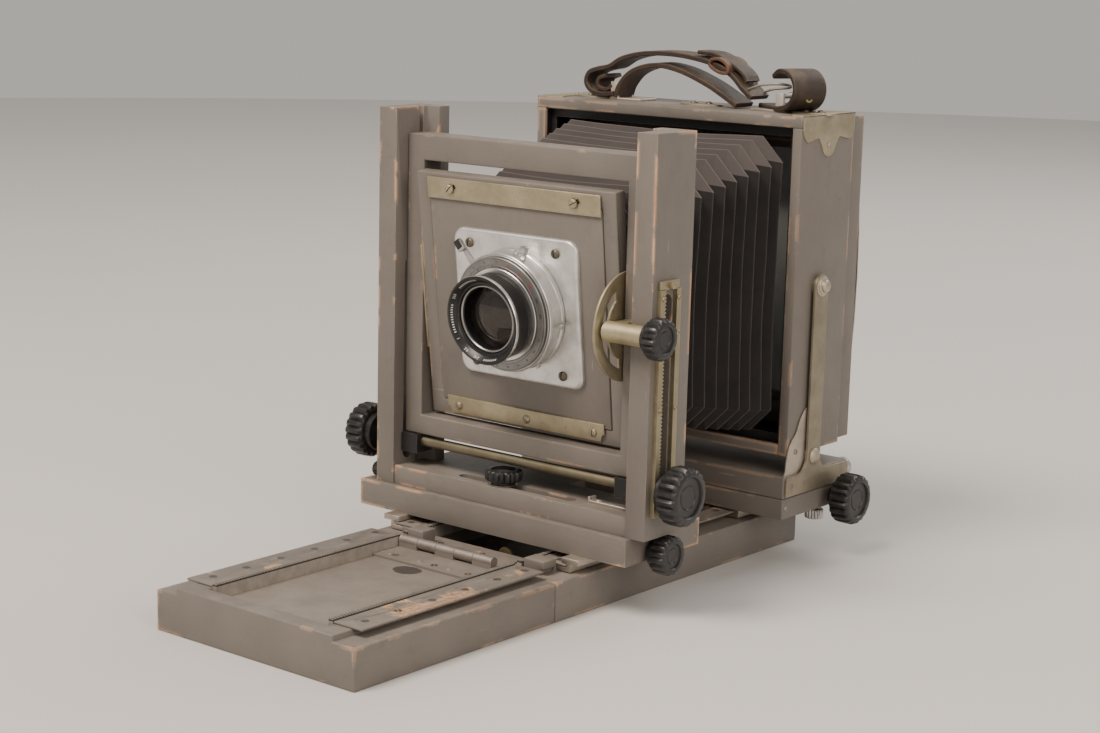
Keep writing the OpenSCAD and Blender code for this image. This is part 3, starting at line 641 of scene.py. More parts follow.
def add_box(mesh: bmesh.types.BMesh, low: Sequence[float], high: Sequence[float],
            soften: float = 0.0, segments: int = 2) -> list[bmesh.types.BMVert]:
    """Adds a box with softened edges.

    Args:
        mesh: the mesh to add to.
        low: its lowest corner.
        high: its highest corner.
        soften: the edges' bevel.
        segments: the bevel's segments.

    Returns:
        The box's vertices.
    """
    low, high = Vector(low), Vector(high)
    size = high - low
    spot = Matrix.Translation((low + high) / 2) @ Matrix.Diagonal((*size, 1.0))
    made = bmesh.ops.create_cube(mesh, size=1.0, matrix=spot)["verts"]
    if soften > 0.0:
        edges = list({edge for vert in made for edge in vert.link_edges})
        made = bmesh.ops.bevel(mesh, geom=edges, offset=soften, offset_type="OFFSET", affect="EDGES",
                               segments=segments, profile=0.5, material=-1, clamp_overlap=True)["verts"]
    return made


def rotation(degrees: float, axis: str) -> Matrix:
    """A turn about one of the axes."""
    return Matrix.Rotation(math.radians(degrees), 4, axis)


def towards(direction: Sequence[float], at: Sequence[float] = (0, 0, 0), roll: float = 0.0) -> Matrix:
    """A frame whose Z axis points along a direction.

    Args:
        direction: where Z points.
        at: the frame's origin.
        roll: degrees turned about Z first.

    Returns:
        The matrix.
    """
    turn = Vector(direction).normalized().to_track_quat("Z", "Y").to_matrix().to_4x4()
    return Matrix.Translation(Vector(at)) @ turn @ rotation(roll, "Z")


def add_turned(mesh: bmesh.types.BMesh, profile: Outline, place: Matrix,
               segments: int = 64) -> list[bmesh.types.BMVert]:
    """Adds a body turned about its own Z axis.

    Args:
        mesh: the mesh to add to.
        profile: radius and height of each point, from axis to axis or closed on itself.
        place: where the body goes.
        segments: steps round the axis.

    Returns:
        The body's vertices.
    """
    made = bmesh.new()
    verts = [made.verts.new((radius, 0.0, height)) for radius, height in profile]
    edges = [made.edges.new((one, two)) for one, two in zip(verts, verts[1:])]
    if profile[0][0] > 1e-7 or profile[-1][0] > 1e-7:
        edges.append(made.edges.new((verts[-1], verts[0])))
    bmesh.ops.spin(made, geom=verts + edges, cent=(0, 0, 0), axis=(0, 0, 1), angle=math.tau,
                   steps=segments, use_merge=True)
    bmesh.ops.remove_doubles(made, verts=made.verts, dist=1e-7)
    bmesh.ops.recalc_face_normals(made, faces=made.faces)
    return join(mesh, made, place)


def join(mesh: bmesh.types.BMesh, part: bmesh.types.BMesh, place: Matrix) -> list[bmesh.types.BMVert]:
    """Adds one mesh to another and frees it.

    Args:
        mesh: the mesh to add to.
        part: the mesh that is added.
        place: where it goes.

    Returns:
        The added vertices.
    """
    bmesh.ops.transform(part, matrix=place, verts=part.verts)
    data = bpy.data.meshes.new("part")
    part.to_mesh(data)
    part.free()
    before = len(mesh.verts)
    mesh.from_mesh(data)
    bpy.data.meshes.remove(data)
    mesh.verts.ensure_lookup_table()
    return mesh.verts[before:]


def add_plate(mesh: bmesh.types.BMesh, outline: Outline, thickness: float,
              place: Matrix, soften: float = 0.0) -> list[bmesh.types.BMVert]:
    """Adds a flat plate of any outline, standing on its place's XY plane.

    Args:
        mesh: the mesh to add to.
        outline: the corners in order.
        thickness: how far it rises along Z.
        place: where it goes.
        soften: bevel of its upper rim.

    Returns:
        The plate's vertices.
    """
    part = bmesh.new()
    face = part.faces.new([part.verts.new((x, y, 0.0)) for x, y in outline])
    raised = bmesh.ops.extrude_face_region(part, geom=[face])["geom"]
    top = [item for item in raised if isinstance(item, bmesh.types.BMVert)]
    bmesh.ops.translate(part, vec=(0, 0, thickness), verts=top)
    bmesh.ops.recalc_face_normals(part, faces=part.faces)
    if soften > 0.0:
        rim = [edge for edge in part.edges if all(abs(vert.co.z - thickness) < 1e-8 for vert in edge.verts)]
        bmesh.ops.bevel(part, geom=rim, offset=soften, offset_type="OFFSET", affect="EDGES", segments=2,
                        profile=0.5, material=-1, clamp_overlap=True)
    return join(mesh, part, place)


def arc(centre: tuple[float, float], radius: float, start: float, stop: float,
        steps: int) -> list[tuple[float, float]]:
    """Points along an arc, angles in degrees.

    Args:
        centre: its centre.
        radius: its radius.
        start: the first angle.
        stop: the last angle.
        steps: how many spans.

    Returns:
        The points, ends included.
    """
    angles = [math.radians(start + (stop - start) * i / steps) for i in range(steps + 1)]
    return [(centre[0] + radius * math.cos(a), centre[1] + radius * math.sin(a)) for a in angles]


def rounded_outline(width: float, height: float, radius: float, steps: int = 6) -> list[tuple[float, float]]:
    """A rectangle with round corners about the origin.

    Args:
        width: its width.
        height: its height.
        radius: the corners' radius.
        steps: spans in each corner.

    Returns:
        The outline's points.
    """
    x, y = width / 2 - radius, height / 2 - radius
    corners = (((x, y), 0), ((-x, y), 90), ((-x, -y), 180), ((x, -y), 270))
    return [point for centre, start in corners for point in arc(centre, radius, start, start + 90, steps)]


class Head(Enum):
    """Shapes of screw head: height and edge height over the radius."""

    ROUND = (0.62, 0.10)
    FLAT = (0.06, 0.02)
    OVAL = (0.28, 0.04)


def add_screw(mesh: bmesh.types.BMesh, at: Sequence[float], out: Sequence[float], radius: float,
              head: Head = Head.ROUND, roll: float = 20.0) -> None:
    """Adds a slotted screw head.

    Args:
        mesh: the mesh to add to.
        at: the head's seat.
        out: the way it faces.
        radius: its radius.
        head: its shape.
        roll: the slot's angle.
    """
    dome, rim = (share * radius for share in head.value)
    slot, depth = 0.13 * radius, min(0.35 * radius, dome + 0.12 * radius)
    part = bmesh.new()
    steps = 5
    heights = [(radius * math.cos(math.pi / 2 * i / steps),
                rim + (dome - rim) * math.sin(math.pi / 2 * i / steps))
               for i in range(steps + 1)]
    add_turned(part, [(0.0, -0.3 * radius), (radius, -0.3 * radius)] + heights[:-1] + [(0.0, dome)],
               Matrix.Identity(4), 24)
    for side in (-1, 1):
        bmesh.ops.bisect_plane(part, geom=part.verts[:] + part.edges[:] + part.faces[:], dist=1e-7,
                               plane_co=(side * slot, 0, 0), plane_no=(1, 0, 0))
    for vert in part.verts:
        if abs(vert.co.x) <= slot + 1e-7 and vert.co.z > 0.0:
            inner = abs(vert.co.x) < slot - 1e-7
            if inner:
                vert.co.z -= depth
    floor = [face for face in part.faces if abs(face.calc_center_median().x) < slot * 0.98
             and face.normal.z > 0.3]
    if floor:
        sunk = bmesh.ops.extrude_face_region(part, geom=floor)["geom"]
        bmesh.ops.delete(part, geom=floor, context="FACES")
        bottom = [item for item in sunk if isinstance(item, bmesh.types.BMVert)]
        bmesh.ops.translate(part, vec=(0, 0, -depth * 0.7), verts=bottom)
    join(mesh, part, towards(out, at, roll))


def softened_copy(node: str, body: str, finish: Finish, soften: float) -> bpy.types.Object:
    """Copies a node, softens its hard edges and shows the copy in its place.

    Args:
        node: the node.
        body: its body.
        finish: its finish.
        soften: the edges' bevel.

    Returns:
        The new piece.
    """
    mesh = bmesh.new()
    mesh.from_mesh(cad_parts[node].data)
    bmesh.ops.remove_doubles(mesh, verts=mesh.verts, dist=2e-6)
    bmesh.ops.dissolve_limit(mesh, angle_limit=math.radians(1.0), use_dissolve_boundaries=False,
                             verts=mesh.verts, edges=mesh.edges)
    for face in mesh.faces:
        turns = [math.degrees(edge.calc_face_angle(0.0)) for edge in face.edges if edge.is_manifold]
        face.smooth = any(FLAT_TURN < turn < SHARP_TURN for turn in turns)
    hard = [edge for edge in mesh.edges if edge.is_manifold and edge.calc_length() > soften * 2
            and edge.calc_face_angle(0.0) > math.radians(SHARP_TURN)]
    rounds = bmesh.ops.bevel(mesh, geom=hard, offset=soften, offset_type="OFFSET", affect="EDGES",
                             segments=2,
                             profile=0.5, material=-1, clamp_overlap=True)["faces"]
    for face in rounds:
        face.smooth = True
    return finish_mesh(mesh, node + "_worn", finish, body, replaces=(node,), shaded=True)


def dress_node(node: str, finish: Finish) -> None:
    """Gives a carried-over node its finish."""
    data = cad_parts[node].data
    data.materials.clear()
    data.materials.append(finish.material())
    LOG.info("%s keeps its shape", node)


def add_knob(mesh: bmesh.types.BMesh, place: Matrix, radius: float, length: float, flutes: int,
             hub: float, hub_length: float, dish: float = 0.66) -> None:
    """Adds a moulded knob with rounded ribs, a dished face and a slim hub behind.

    Args:
        mesh: the mesh to add to.
        place: its back, with Z out of its face.
        radius: its radius over the ribs.
        length: its whole length.
        flutes: how many grooves run round it.
        hub: the hub's radius.
        hub_length: the hub's length.
        dish: the dished face's share of the radius.
    """
    soft = 0.09 * radius
    back = hub_length
    profile = [(0.0, 0.0), (hub * 0.96, 0.0), (hub, hub * 0.05), (hub, back), (radius * 0.80, back),
               (radius - soft * 1.5, back + soft * 0.3), (radius - soft * 0.4, back + soft * 0.9),
               (radius, back + soft * 2.0), (radius, (back + length) / 2), (radius, length - soft * 2.0),
               (radius - soft * 0.4, length - soft * 0.9), (radius - soft * 1.4, length - soft * 0.25),
               (radius * 0.84, length - soft * 0.05), (radius * (dish + 0.045), length),
               (radius * (dish + 0.01), length - 0.04 * radius), (radius * dish, length - 0.085 * radius),
               (radius * 0.42, length - 0.10 * radius), (radius * 0.40, length - 0.075 * radius),
               (radius * 0.375, length - 0.10 * radius), (0.0, length - 0.10 * radius)]
    part = bmesh.new()
    add_turned(part, profile, Matrix.Identity(4), flutes * 6)
    start = radius * 0.79
    for vert in part.verts:
        reach = math.hypot(vert.co.x, vert.co.y)
        if reach > start and vert.co.z > back - 1e-6:
            wave = math.cos(flutes * math.atan2(vert.co.y, vert.co.x))
            groove = max(0.0, -wave) ** 1.2
            share = min(1.0, (reach - start) / (radius - start))
            pull = 1.0 - 0.105 * groove * share ** 1.5
            vert.co.x *= pull
            vert.co.y *= pull
    join(mesh, part, place)


def swept(mesh: bmesh.types.BMesh, path: Sequence[Vector], section: Callable[[float], Outline],
          side: Vector) -> list[bmesh.types.BMVert]:
    """Adds a band swept along a path.

    Args:
        mesh: the mesh to add to.
        path: the path's points.
        section: gives the section's points at a share of the path, as width and height.
        side: the direction that widths are measured along.

    Returns:
        The band's vertices.
    """
    part = bmesh.new()
    count = len(path)
    rings = []
    for i, point in enumerate(path):
        before, after = path[max(0, i - 1)], path[min(count - 1, i + 1)]
        tangent = (after - before).normalized()
        up = side.cross(tangent).normalized()
        rings.append([part.verts.new(point + side * w + up * h) for w, h in section(i / max(1, count - 1))])
    edges = []
    for ring in rings:
        edges.append([part.edges.new((ring[k], ring[(k + 1) % len(ring)])) for k in range(len(ring))])
    for one, two in zip(edges, edges[1:]):
        bmesh.ops.bridge_loops(part, edges=one + two)
    for ring in (edges[0], edges[-1]):
        bmesh.ops.contextual_create(part, geom=ring)
    bmesh.ops.recalc_face_normals(part, faces=part.faces)
    return join(mesh, part, Matrix.Identity(4))


def curve_through(points: Sequence[Sequence[float]], steps: int) -> list[Vector]:
    """A smooth path through points.

    Args:
        points: the points it passes.
        steps: how many points between each pair.

    Returns:
        The path.
    """
    ends = [Vector(point) for point in points]
    ends = [ends[0] * 2 - ends[1]] + ends + [ends[-1] * 2 - ends[-2]]
    path = []
    for a, b, c, d in zip(ends, ends[1:], ends[2:], ends[3:]):
        for i in range(steps):
            t = i / steps
            path.append(0.5 * (2 * b + (c - a) * t + (2 * a - 5 * b + 4 * c - d) * t * t
                               + (3 * b - a - 3 * c + d) * t ** 3))
    path.append(ends[-2])
    return path


# ---------------------------------------------------------------- studio


@dataclass
class Studio:
    """Camera, floor and soft lights."""

    spot: Point = (0.85128, -1.08949, 0.39389)
    right: Point = (0.75983, 0.64983, 0.01958)
    up: Point = (-0.14939, 0.14520, 0.97806)
    back: Point = (0.63273, -0.74608, 0.20740)
    lens: float = 72.2
    shift: tuple[float, float] = (0.05007, 0.03336)

    def camera(self) -> bpy.types.Object:
        """Makes the scene's camera."""
        data = bpy.data.cameras.new("camera")
        data.lens = self.lens
        data.sensor_width = 36.0
        data.shift_x, data.shift_y = self.shift
        data.clip_start = 0.05
        camera = bpy.data.objects.new("camera", data)
        camera.matrix_world = (Matrix((self.right, self.up, self.back)).transposed().to_4x4())
        camera.location = self.spot
        bpy.context.scene.collection.objects.link(camera)
        bpy.context.scene.camera = camera
        return camera

    def floor(self) -> bpy.types.Object:
        """Makes the pale floor."""
        mesh = bmesh.new()
        bmesh.ops.create_circle(mesh, cap_ends=True, segments=96, radius=4.0)
        data = bpy.data.meshes.new("floor")
        mesh.to_mesh(data)
        mesh.free()
        floor = bpy.data.objects.new("floor", data)
        data.materials.append(PlainBoard().material())
        bpy.context.scene.collection.objects.link(floor)
        return floor

    def light(self, name: str, spot: Point, size: float, power: float, colour: Point) -> bpy.types.Object:
        """Adds an area light aimed at the camera body.

        Args:
            name: its name.
            spot: where it stands.
            size: its side.
            power: its power in watts.
            colour: its colour.

        Returns:
            The light.
        """
        data = bpy.data.lights.new(name, "AREA")
        data.shape = "DISK"
        data.size = size
        data.energy = power
        data.color = colour
        light = bpy.data.objects.new(name, data)
        aim = Vector(spot) - Vector((0.0, 0.0, 0.15))
        light.matrix_world = Matrix.Translation(spot) @ aim.to_track_quat("Z", "Y").to_matrix().to_4x4()
        bpy.context.scene.collection.objects.link(light)
        return light

    def world(self) -> None:
        """Fills the shadows with a dim even sky."""
        world = bpy.data.worlds.new("sky")
        world.use_nodes = True
        background = world.node_tree.nodes["Background"]
        background.inputs["Color"].default_value = (1.0, 0.945, 0.89, 1.0)
        background.inputs["Strength"].default_value = 0.50
        bpy.context.scene.world = world

    def build(self) -> None:
        """Sets the stage."""
        self.camera()
        self.world()
        made = [self.floor(),
                self.light("key", (-0.35, -1.65, 2.45), 1.3, 86.0, (1.0, 0.87, 0.755)),
                self.light("right", (2.1, -0.7, 1.2), 1.6, 22.0, (1.0, 0.88, 0.77)),
                self.light("rim", (0.2, 2.2, 1.9), 1.6, 30.0, (1.0, 0.955, 0.91))]
        LOG.info("studio: camera, floor, %d lights", len(made) - 1)


# ---------------------------------------------------------------- sub-assemblies


def mm(*values: float) -> Vector:
    """A point given in millimetres."""
    return Vector(values) * MM


def in_mm(points: Iterable[tuple[float, float]]) -> list[tuple[float, float]]:
    """An outline or profile given in millimetres."""
    return [(first * MM, second * MM) for first, second in points]


def shape(add: Callable[..., Any], *values: Any) -> Shape:
    """An adding function with everything set but the mesh."""
    return lambda mesh: add(mesh, *values)


def flank(side: int, x: float) -> Matrix:
    """A frame on one side: its X and Y run along the camera's Y and Z, and its Z points out."""
    return Matrix.Translation(mm(side * x, 0, 0)) @ Matrix(
        ((0, 0, side, 0), (1, 0, 0, 0), (0, 1, 0, 0), (0, 0, 0, 1)))


def screws(name: str, body: str, finish: Finish, seats: Seats,
           radius: float, head: Head, seed: int = 1) -> bpy.types.Object:
    """Adds a set of slotted screws as one piece.

    Args:
        name: the piece's name.
        body: its body.
        finish: its finish.
        seats: each screw's seat in millimetres and the way it faces.
        radius: the heads' radius in millimetres.
        head: their shape.
        seed: sets the slots' angles.

    Returns:
        The piece.
    """
    mesh = bmesh.new()
    dice = random.Random(seed)
    for seat, out in seats:
        add_screw(mesh, mm(*seat), out, radius * MM, head, dice.uniform(-80, 80))
    return finish_mesh(mesh, name, finish, body)


def joined(name: str, body: str, finish: Finish, shapes: Iterable[Shape],
           replaces: Sequence[str] = (), smooth: float = 35.0) -> bpy.types.Object:
    """Makes one piece of several shapes.

    Args:
        name: the piece's name.
        body: its body.
        finish: its finish.
        shapes: each adds a shape to the mesh it is given.
        replaces: nodes it stands for.
        smooth: the sharp-edge angle.

    Returns:
        The piece.
    """
    mesh = bmesh.new()
    for shape in shapes:
        shape(mesh)
    return finish_mesh(mesh, name, finish, body, smooth, replaces)


@dataclass
class Bed:
    """Both bed sections with rails, racks and hinge."""

    plate_top: float = 29.8
    finish: Finish = field(default_factory=lambda: GrayPaint(Axis.Y, 0.62))
    metal: Finish = field(default_factory=lambda: GrayPaint(Axis.Y, 0.35, 1.06))
    seats_front: tuple[float, ...] = (-262.0, -236.0, -208.0, -180.0, -152.0, -127.0)
    seats_main: tuple[float, ...] = (-94.0, -40.0, 14.0, 68.0, 122.0)

    def build(self) -> None:
        """Builds every piece of the bed."""
        softened_copy("bed_main", "bed_main", self.finish, 0.0008)
        softened_copy("bed_front", "bed_front", self.finish, 0.0008)
        softened_copy("front_panel", "bed_front", GrayPaint(Axis.Y, 0.3, 1.24, True), 0.0003)
        softened_copy("bed_blocks", "bed_main", GrayPaint(Axis.X, 1.0), 0.0007)
        for node, body in (("main_rail_l", "bed_main"), ("main_rail_r", "bed_main"),
                           ("front_rail_l", "bed_front"), ("front_rail_r", "bed_front")):
            softened_copy(node, body, self.metal, 0.00045)
        for node in ("main_racks", "front_racks"):
            dress_node(node, RackMetal())
        self.hinge()
        self.rail_screws()
        joined("step_plug", "bed_main", OldNickel(1.7, 0.42),
               [shape(add_turned, in_mm([(0, 0), (5.2, 0), (5.6, 0.4), (5.6, 2.2), (0, 2.2)]),
                      towards((0, -1, 0), mm(11.5, -84.6, 20.6)), 32)])
        dress_node("tripod_bush", OldNickel())

    def hinge(self) -> None:
        """Builds the hinge leaves' finish and the barrel's knuckles; their screws come with the rail screws.
        """
        dress_node("hinge_rear_leaf", self.metal)
        dress_node("hinge_front_leaf", self.metal)

        def sleeve(mesh: bmesh.types.BMesh, low: float, high: float) -> None:
            """Adds one smooth length of the hinge's barrel."""
            add_turned(mesh,
                       [(0.0, 0.0), (2.9 * MM, 0.0), (3.32 * MM, 0.35 * MM),
                        (3.32 * MM, high - low - 0.35 * MM),
                        (2.9 * MM, high - low), (0.0, high - low)],
                       towards((1, 0, 0), (low, -0.12, 0.0273)), 32)

        edges = [(-44.0 + 15.0 * i) * MM for i in range(6)]
        for body, wanted in (("bed_main", 0), ("bed_front", 1)):
            joined("hinge_barrel_" + body, body, OldNickel(0.95, 0.72),
                   [shape(sleeve, a + 0.12 * MM, b - 0.12 * MM)
                    for i, (a, b) in enumerate(zip(edges, edges[1:])) if i % 2 == wanted])

    def rail_screws(self) -> None:
        """Adds the countersunk screws of rails and leaves."""
        up = (0, 0, 1)
        for body, seats, leaf in (("bed_front", self.seats_front,
                                   ((-32.0, -139.0), (0.0, -139.0), (27.0, -139.0))),
                                  ("bed_main", self.seats_main,
                                   ((-30.0, -100.0), (4.0, -100.0), (33.0, -100.0)))):
            spots = [((side * 60.5, y, self.plate_top + 0.02), up) for side in (-1, 1) for y in seats]
            screws("rail_screws_" + body, body, OldNickel(1.0, 0.42), spots, 2.5, Head.FLAT, 3)
            screws("leaf_screws_" + body, body, OldNickel(1.1, 0.4),
                   [((x, y, 23.32), up) for x, y in leaf], 2.4, Head.FLAT, 5)


@dataclass
class FrontCarriage:
    """The crossbar that slides along the bed, with its gibs and focus drive."""

    knob_r: float = 12.0

    def build(self) -> None:
        """Builds the carriage."""
        softened_copy("front_carriage", "front_carriage", GrayPaint(Axis.X, 0.85), 0.0010)
        softened_copy("front_gibs", "front_carriage", OldNickel(1.0, 0.9), 0.0004)
        dress_node("front_focus_shaft", BrightSteel())
        joined("front_focus_knob_ribbed", "front_focus_shaft", Bakelite(),
               [shape(add_knob, towards((1, 0, 0), mm(108.5, -65.4, 38.25), 9.0), self.knob_r * MM,
                      15 * MM, 16, 8.4 * MM, 3.6 * MM, 0.60)], replaces=("front_focus_knob",))
        screws("carriage_screws", "front_carriage", OldNickel(1.0, 0.7),
               [((x, y, 50.25), (0, 0, 1))
                for x, y in ((-101.0, -84.0), (101.0, -70.0), (-101.0, -30.0), (101.0, -30.0))],
               2.6, Head.FLAT, 2)


@dataclass
class FrontStandard:
    """Base, posts, racks and clamps of the front standard."""

    x: float = 10.6
    post: Finish = field(default_factory=lambda: GrayPaint(Axis.Z, 0.80))

    def build(self) -> None:
        """Builds the standard."""
        softened_copy("front_base", "front_standard", GrayPaint(Axis.X, 0.75, 1.12), 0.0008)
        softened_copy("post_l", "front_standard", self.post, 0.0010)
        softened_copy("post_r", "front_standard", self.post, 0.0010)
        brass = OldNickel(1.3, 0.72)
        for node in ("rise_rack_l", "rise_rack_r"):
            dress_node(node, brass)
        softened_copy("lever_strip", "front_standard", OldNickel(1.0, 1.1), 0.0003)
        self.strip_details(brass)
        self.clamps()

    def strip_details(self, brass: Finish) -> None:
        """Adds the racks' screws and the small tab at their top."""
        spots = []
        for side in (-1, 1):
            out = self.x + side * 110.0
            spots += [((out, y, z), (side, 0, 0)) for z in (84.0, 128.0, 172.0, 193.0)
                      for y in (-81.0, -66.3)]
        screws("rack_screws", "front_standard", brass, spots, 1.7, Head.ROUND, 7)

        def tab(mesh: bmesh.types.BMesh) -> None:
            """Adds the tab that closes the slot's top."""
            add_box(mesh, mm(self.x + 107.0, -83.0, 198.0), mm(self.x + 109.4, -65.0, 203.0), 0.0004)
            add_box(mesh, mm(self.x + 109.2, -76.0, 198.5), mm(self.x + 112.8, -72.0, 202.5), 0.0005)

        joined("slot_tab", "front_standard", brass, [tab])

    def clamps(self) -> None:
        """Builds the shift knob and the small lock knob."""
        joined("shift_knob_ribbed", "shift_knob", Bakelite(),
               [shape(add_knob, towards((0, 0, 1), mm(0, -76.0, 62.6), 4.0), 11.8 * MM, 9.4 * MM, 18,
                      7.6 * MM, 2.0 * MM, 0.62)], replaces=("shift_knob",))
        joined("shift_stud", "shift_knob", BrightSteel(0.3),
               [shape(add_turned, in_mm([(0, 0), (3, 0), (3, 13), (0, 13)]),
                      towards((0, 0, 1), mm(0, -76.0, 50.8)), 24),
                shape(add_turned, in_mm([(3.4, 0), (8.6, 0), (8.8, 0.2), (8.8, 0.5),
                                         (3.4, 0.5)]), towards((0, 0, 1), mm(0, -76.0, 62.25)), 40)])
        joined("front_lock_ribbed", "front_lock_knob", Bakelite(),
               [shape(add_knob, towards((-1, 0, 0), mm(-97.4, -79.9, 55.4), 4.0), 4.8 * MM, 7 * MM, 14,
                      3.4 * MM, 1.5 * MM)], replaces=("front_lock_knob",))


@dataclass
class RisingFrame:
    """The frame that rises between the posts, with its rack shaft."""

    def build(self) -> None:
        """Builds the frame."""
        softened_copy("rising_frame", "rising_frame", GrayPaint(Axis.X, 0.72), 0.0009)
        dress_node("rise_bearings", BlackEnamel(0.2))
        dress_node("rise_shaft", OldNickel(1.25, 0.42))
        softened_copy("tilt_tube", "rising_frame", OldNickel(1.3, 1.0), 0.0005)
        dress_node("tilt_pivots", OldNickel())
        for name, start, way in (("r", 121.6, 1), ("l", -105.4, -1)):
            joined("rise_knob_%s_ribbed" % name, "rise_shaft", Bakelite(),
                   [shape(add_knob, towards((way, 0, 0), mm(start, -74.0, 78.2), 5.0), 17.6 * MM, 18 * MM,
                          20,
                          12.4 * MM, 4.0 * MM)], replaces=("rise_knob_" + name,))
        joined("tilt_knob_ribbed", "tilt_knob", Bakelite(),
               [shape(add_knob, towards((1, 0, 0), mm(120.2, -94.5, 172.5), 3.0), 12.3 * MM, 13 * MM, 18,
                      8.8 * MM, 2.8 * MM, 0.6)], replaces=("tilt_knob",))
        joined("tilt_rod", "tilt_knob", BrightSteel(0.2),
               [shape(add_turned, in_mm([(0, 0), (2, 0), (2, 33), (0, 33)]),
                      towards((1, 0, 0), mm(87.5, -94.5, 172.5)), 24),
                shape(add_turned, in_mm([(0, 0), (4.2, 0), (4.4, 0.3), (4.4, 2.8), (0, 2.8)]),
                      towards((1, 0, 0), mm(84.6, -94.5, 172.5)), 32)])


@dataclass
class LensPanel:
    """The tilting panel with its lens board, clips and quadrants."""

    pivot: Point = (10.7, -71.5, 172.5)
    lean: float = 6.9

    def place(self, x: float, y: float, z: float) -> Vector:
        """A point of the leaned panel, from millimetres about its pivot."""
        turn = Matrix.Rotation(math.radians(self.lean), 3, "X")
        return (Vector(self.pivot) + turn @ Vector((x, y, z))) * MM

    def way(self, x: float, y: float, z: float) -> Vector:
        """A direction of the leaned panel."""
        return Matrix.Rotation(math.radians(self.lean), 3, "X") @ Vector((x, y, z))

    def matrix(self) -> Matrix:
        """The leaned panel's frame, in metres."""
        return Matrix.Translation(Vector(self.pivot) * MM) @ rotation(self.lean, "X")

    def seat(self, x: float, y: float, z: float) -> tuple[Vector, Vector]:
        """A seat on the panel's face for a screw, in millimetres, with its direction."""
        return self.place(x, y, z) / MM, self.way(0, -1, 0)

    def build(self) -> None:
        """Builds the panel."""
        softened_copy("tilt_panel", "tilt_panel", GrayPaint(Axis.X, 0.7), 0.0008)
        softened_copy("lens_board", "tilt_panel", GrayPaint(Axis.Z, 0.35, 1.06), 0.0005)
        softened_copy("quadrants", "tilt_panel", OldNickel(1.25, 0.8), 0.0003)
        self.top_clip()
        self.bottom_clip()
        self.adapter()

    def top_clip(self) -> None:
        """Builds the sliding clip with its slanted slots and screws."""
        softened_copy("top_clip", "top_clip", OldNickel(1.25, 0.85), 0.0003)
        screws("top_clip_screws", "tilt_panel", OldNickel(1.2, 0.8),
               [self.seat(x, -8.7, 71.3) for x in (-48.5, 47.5)], 3.0, Head.OVAL, 4)

    def bottom_clip(self) -> None:
        """Builds the lower clip with its notched corners."""
        outline = [(-62.0, 3.0), (62.0, 3.0), (62.0, -3.5)] + arc((62.0, -5.6), 2.1, 90, 180, 4)
        outline += [(59.4, -8.0), (-59.4, -8.0)] + arc((-62.0, -5.6), 2.1, 0, 90, 4)
        spin = self.matrix() @ Matrix.Translation(mm(0, -5.9, 2.1 - 66.675)) @ rotation(90, "X")
        joined("bottom_clip_notched", "tilt_panel", OldNickel(1.25, 0.85),
               [shape(add_plate, in_mm(reversed(outline)), 1.4 * MM, spin, 0.3 * MM)],
               replaces=("bottom_clip",))
        screws("bottom_clip_screws", "tilt_panel", OldNickel(1.2, 0.7),
               [self.seat(x, -7.3, -67.6) for x in (-53.0, 2.0, 54.0)], 2.7, Head.ROUND, 6)

    def adapter(self) -> None:
        """Builds the pressed alloy plate with a rolled rim, and its screws."""
        mesh = bmesh.new()
        steps = ((0.0, 0.0, 8.0), (0.0, 1.2, 8.0), (-0.35, 2.2, 7.7), (-1.1, 2.85, 7.2), (-2.2, 3.0, 6.4),
                 (-4.0, 2.75, 5.4), (-5.5, 2.7, 4.8))
        rings = []
        for grow, rise, corner in steps:
            outline = rounded_outline((96 + 2 * grow) * MM, (91.5 + 2 * grow) * MM, corner * MM, 8)
            rings.append([mesh.verts.new((x + 1 * MM, z + 3 * MM, rise * MM)) for x, z in outline])
        edges = [[mesh.edges.new((ring[k], ring[(k + 1) % len(ring)])) for k in range(len(ring))]
                 for ring in rings]
        for one, two in zip(edges, edges[1:]):
            bmesh.ops.bridge_loops(mesh, edges=one + two)
        bmesh.ops.contextual_create(mesh, geom=edges[0])
        hole = bmesh.ops.create_circle(mesh, cap_ends=False, segments=64, radius=25 * MM,
                                       matrix=Matrix.Translation(mm(1, 3, 2.7)))["verts"]
        inner = list({edge for vert in hole for edge in vert.link_edges})
        bmesh.ops.triangle_fill(mesh, use_beauty=True, use_dissolve=False, edges=edges[-1] + inner)
        bmesh.ops.transform(mesh, matrix=self.matrix() @ Matrix.Translation(mm(0, -5.9, 0))
                            @ rotation(90, "X"), verts=mesh.verts)
        finish_mesh(mesh, "adapter_plate_rolled", SatinAlloy(1.0, 0.0), "tilt_panel",
                    replaces=("adapter_plate",))
        screws("adapter_screws", "tilt_panel", OldNickel(1.1, 0.35),
               [self.seat(1 + x, -8.9, 3 + z) for x, z in ((-35, 37), (32, 37), (-35, -37.5), (33, -38))],
               3.0, Head.ROUND, 11)


